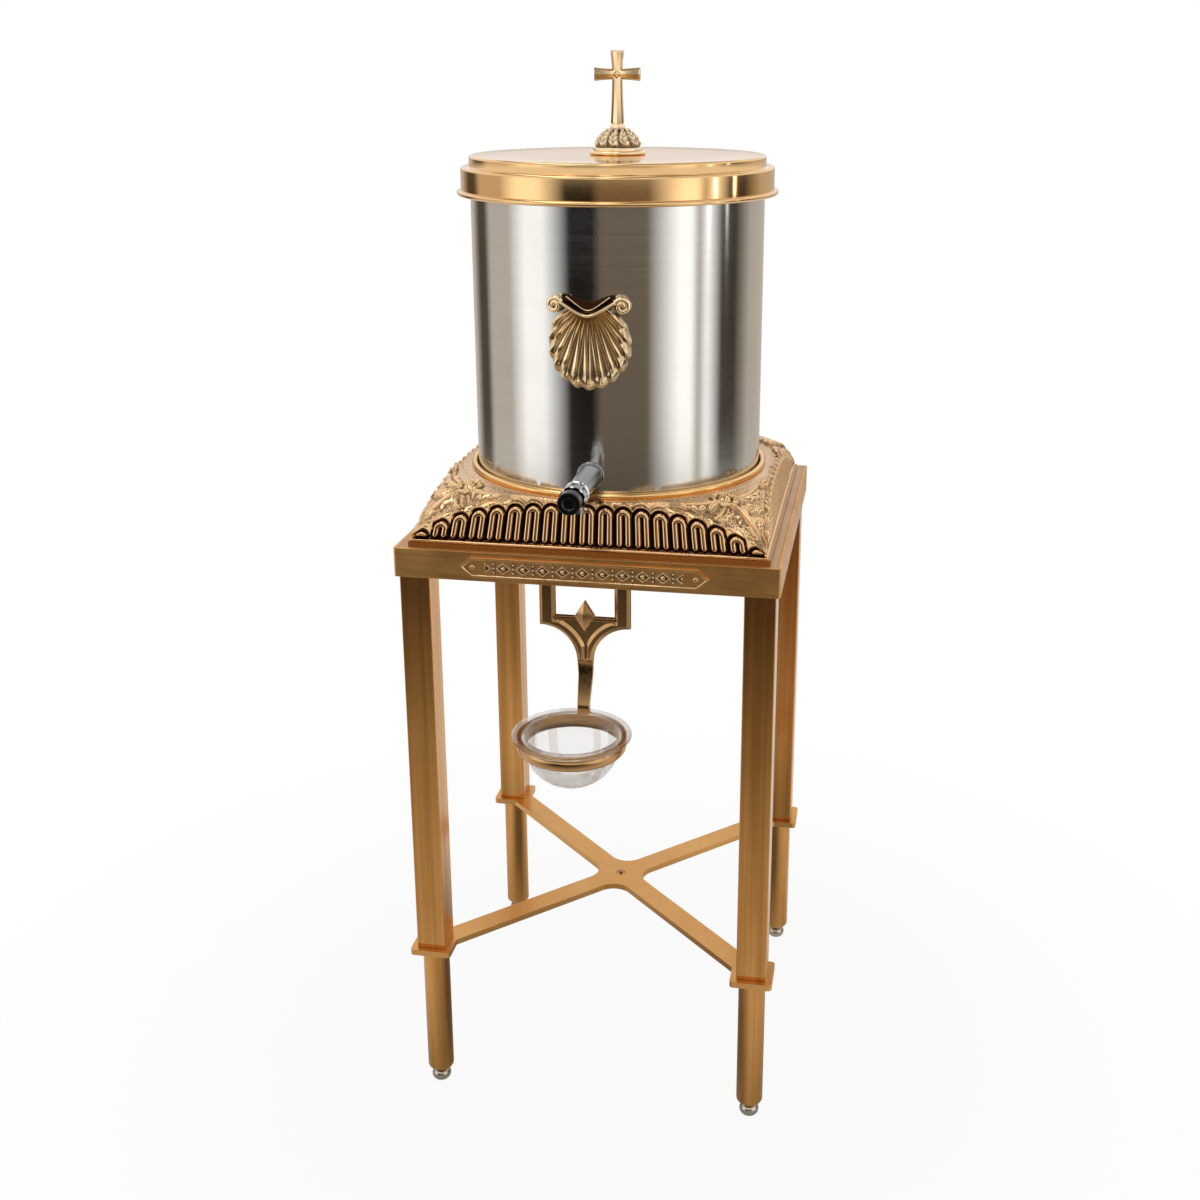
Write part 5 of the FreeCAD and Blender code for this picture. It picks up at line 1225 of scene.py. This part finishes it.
# Panels of the studio wall: from and to in degrees round from the front towards the right, and brightness
STUDIO_PANELS = {
    "back left": (-180, -140, 0.6), "flag left": (-124, -112, 0.1), "wash left": (-104, -80, 0.65),
    "soft box left": (-64, -48, 1.5), "flag front": (-26, -8, 0.01), "front": (-2, 32, 0.19),
    "soft box right": (57, 67, 1.65), "gap": (73, 75, 0.7), "strip right": (80, 83, 1.35),
    "flag right": (96, 111, 0.06), "back right": (133, 180, 0.6),
}
WALL_RADIUS = 2.5
WALL_DARK_TOP = 0.97
WALL_TOP = 1.3
WALL_STEPS = 120
CEILING_HEIGHT = 2.7
CEILING_TONE = 0.3
CEILING_STRIP_TONE = 1.6
CEILING_STRIP_PITCH = 1.1


def warm(level):
    """Colour of a patch of wall: the dimmer, the browner."""
    share = 1 - min(max((level - 0.25) / 0.75, 0), 1)
    return level, level * (1 - 0.22 * share), level * (1 - 0.45 * share)


def stage_emitter(name, points, faces, paint):
    """Piece of the studio that shows only mirrored in metal; paint fills in its colour."""
    obj = mesh_object(name, points, faces)
    obj.location = (0, AXIS_Y, 0)
    material, tree, _ = start_material(name)
    set_surface(tree, emission(tree, paint(tree)))
    obj.data.materials.append(material)
    obj.visible_camera = obj.visible_diffuse = obj.visible_transmission = obj.visible_shadow = False


def wall_paint(tree):
    """Panels side by side round the wall, which goes white towards its top."""
    axes = axes_of(tree, place_on(tree))
    bearing = maths(tree, "ARCTAN2", axes["X"], maths(tree, "MULTIPLY", axes["Y"], -1.0))
    share = to_range(tree, bearing, 0.0, 1.0, -math.pi, math.pi)
    stops = [((turn + 180) / 360, warm(level)) for first, last, level in STUDIO_PANELS.values()
             for turn in (first, last)]
    fade = to_range(tree, axes["Z"], 0.0, 1.0, WALL_DARK_TOP, WALL_TOP)
    return mix_colour(tree, "MIX", fade, ramp(tree, share, *stops), WHITE)


def ceiling_paint(tree):
    """Dim ceiling with rows of strip lights along Y."""
    from_strip = maths(tree, "PINGPONG", axes_of(tree, place_on(tree))["X"], CEILING_STRIP_PITCH / 2)
    strip = to_range(tree, from_strip, 1.0, 0.0, 0.12, 0.24)
    return mix_colour(tree, "MIX", strip, (CEILING_TONE,) * 3 + (1,), (CEILING_STRIP_TONE,) * 3 + (1,))


def studio():
    turn = full_turn(WALL_STEPS)
    ring = WALL_RADIUS * np.stack([np.sin(turn), -np.cos(turn), 0 * turn], -1)
    points, faces = grid_part(np.stack([ring, ring + (0, 0, WALL_TOP)]), wrap=True)
    stage_emitter("studio_wall", points.tolist(), faces.tolist(), wall_paint)
    lid = ring + (0, 0, CEILING_HEIGHT)
    stage_emitter("studio_ceiling", lid.tolist(), [list(range(WALL_STEPS))], ceiling_paint)


OVERHEAD_PLACE = (-0.5, -0.2, CEILING_HEIGHT - 0.05)
OVERHEAD_AIM = (0, 0.06, 0)
OVERHEAD_SIZE = (1.2, 1.2)
OVERHEAD_RADIANCE = 1.8
# Strip lights level with the lid, by their bearing from the front towards the right
STRIP_BEARINGS_DEG = (82, 100)
STRIP_SIZE = (0.12, 0.24)
STRIP_HEIGHT = 0.92
STRIP_REACH = WALL_RADIUS - 0.1
STRIP_RADIANCE = 4.0


def soft_box(name, place, aim, width, height, radiance):
    """Rectangular light of even brightness, which the camera doesn't see."""
    light = bpy.data.lights.new(name, "AREA")
    light.shape = "RECTANGLE"
    light.size, light.size_y = width, height
    light.energy = radiance * math.pi * width * height
    obj = link_object(name, light)
    obj.location = place
    obj.rotation_euler = (Vector(aim) - Vector(place)).to_track_quat("-Z", "Y").to_euler()
    obj.visible_camera = False


def lights():
    soft_box("overhead", OVERHEAD_PLACE, OVERHEAD_AIM, *OVERHEAD_SIZE, OVERHEAD_RADIANCE)
    for number, bearing in enumerate(np.radians(STRIP_BEARINGS_DEG)):
        place = (STRIP_REACH * math.sin(bearing), AXIS_Y - STRIP_REACH * math.cos(bearing), STRIP_HEIGHT)
        soft_box(f"strip_{number}", place, (0, AXIS_Y, STRIP_HEIGHT), *STRIP_SIZE, STRIP_RADIANCE)


CAMERA_PLACE = (0.2891, -1.5293 + AXIS_Y, 1.1000)
CAMERA_YAW_DEG = 9.82
CAMERA_PITCH_DEG = 16.61
CAMERA_LENS = 44.11
CAMERA_SENSOR = 36
CAMERA_SHIFT = (-0.0342, -0.08)


def camera():
    data = bpy.data.cameras.new("camera")
    data.sensor_width = CAMERA_SENSOR
    data.lens = CAMERA_LENS
    data.shift_x, data.shift_y = CAMERA_SHIFT
    obj = link_object("camera", data)
    obj.location = CAMERA_PLACE
    obj.rotation_euler = (math.radians(90 - CAMERA_PITCH_DEG), 0, math.radians(CAMERA_YAW_DEG))
    bpy.context.scene.camera = obj


dress_frame()
embossed_base()
shell_ornament()
finial_dome()
finial_cross()
nameplate_relief()
nameplate_border()
drip_bracket()
drip_ring()
collar()
lid_cover()
tap_sleeve()
tap_flange()
return_spring()
round_plain_edges()
floor()
surroundings()
studio()
lights()
camera()
bpy.context.scene.view_settings.view_transform = "Standard"
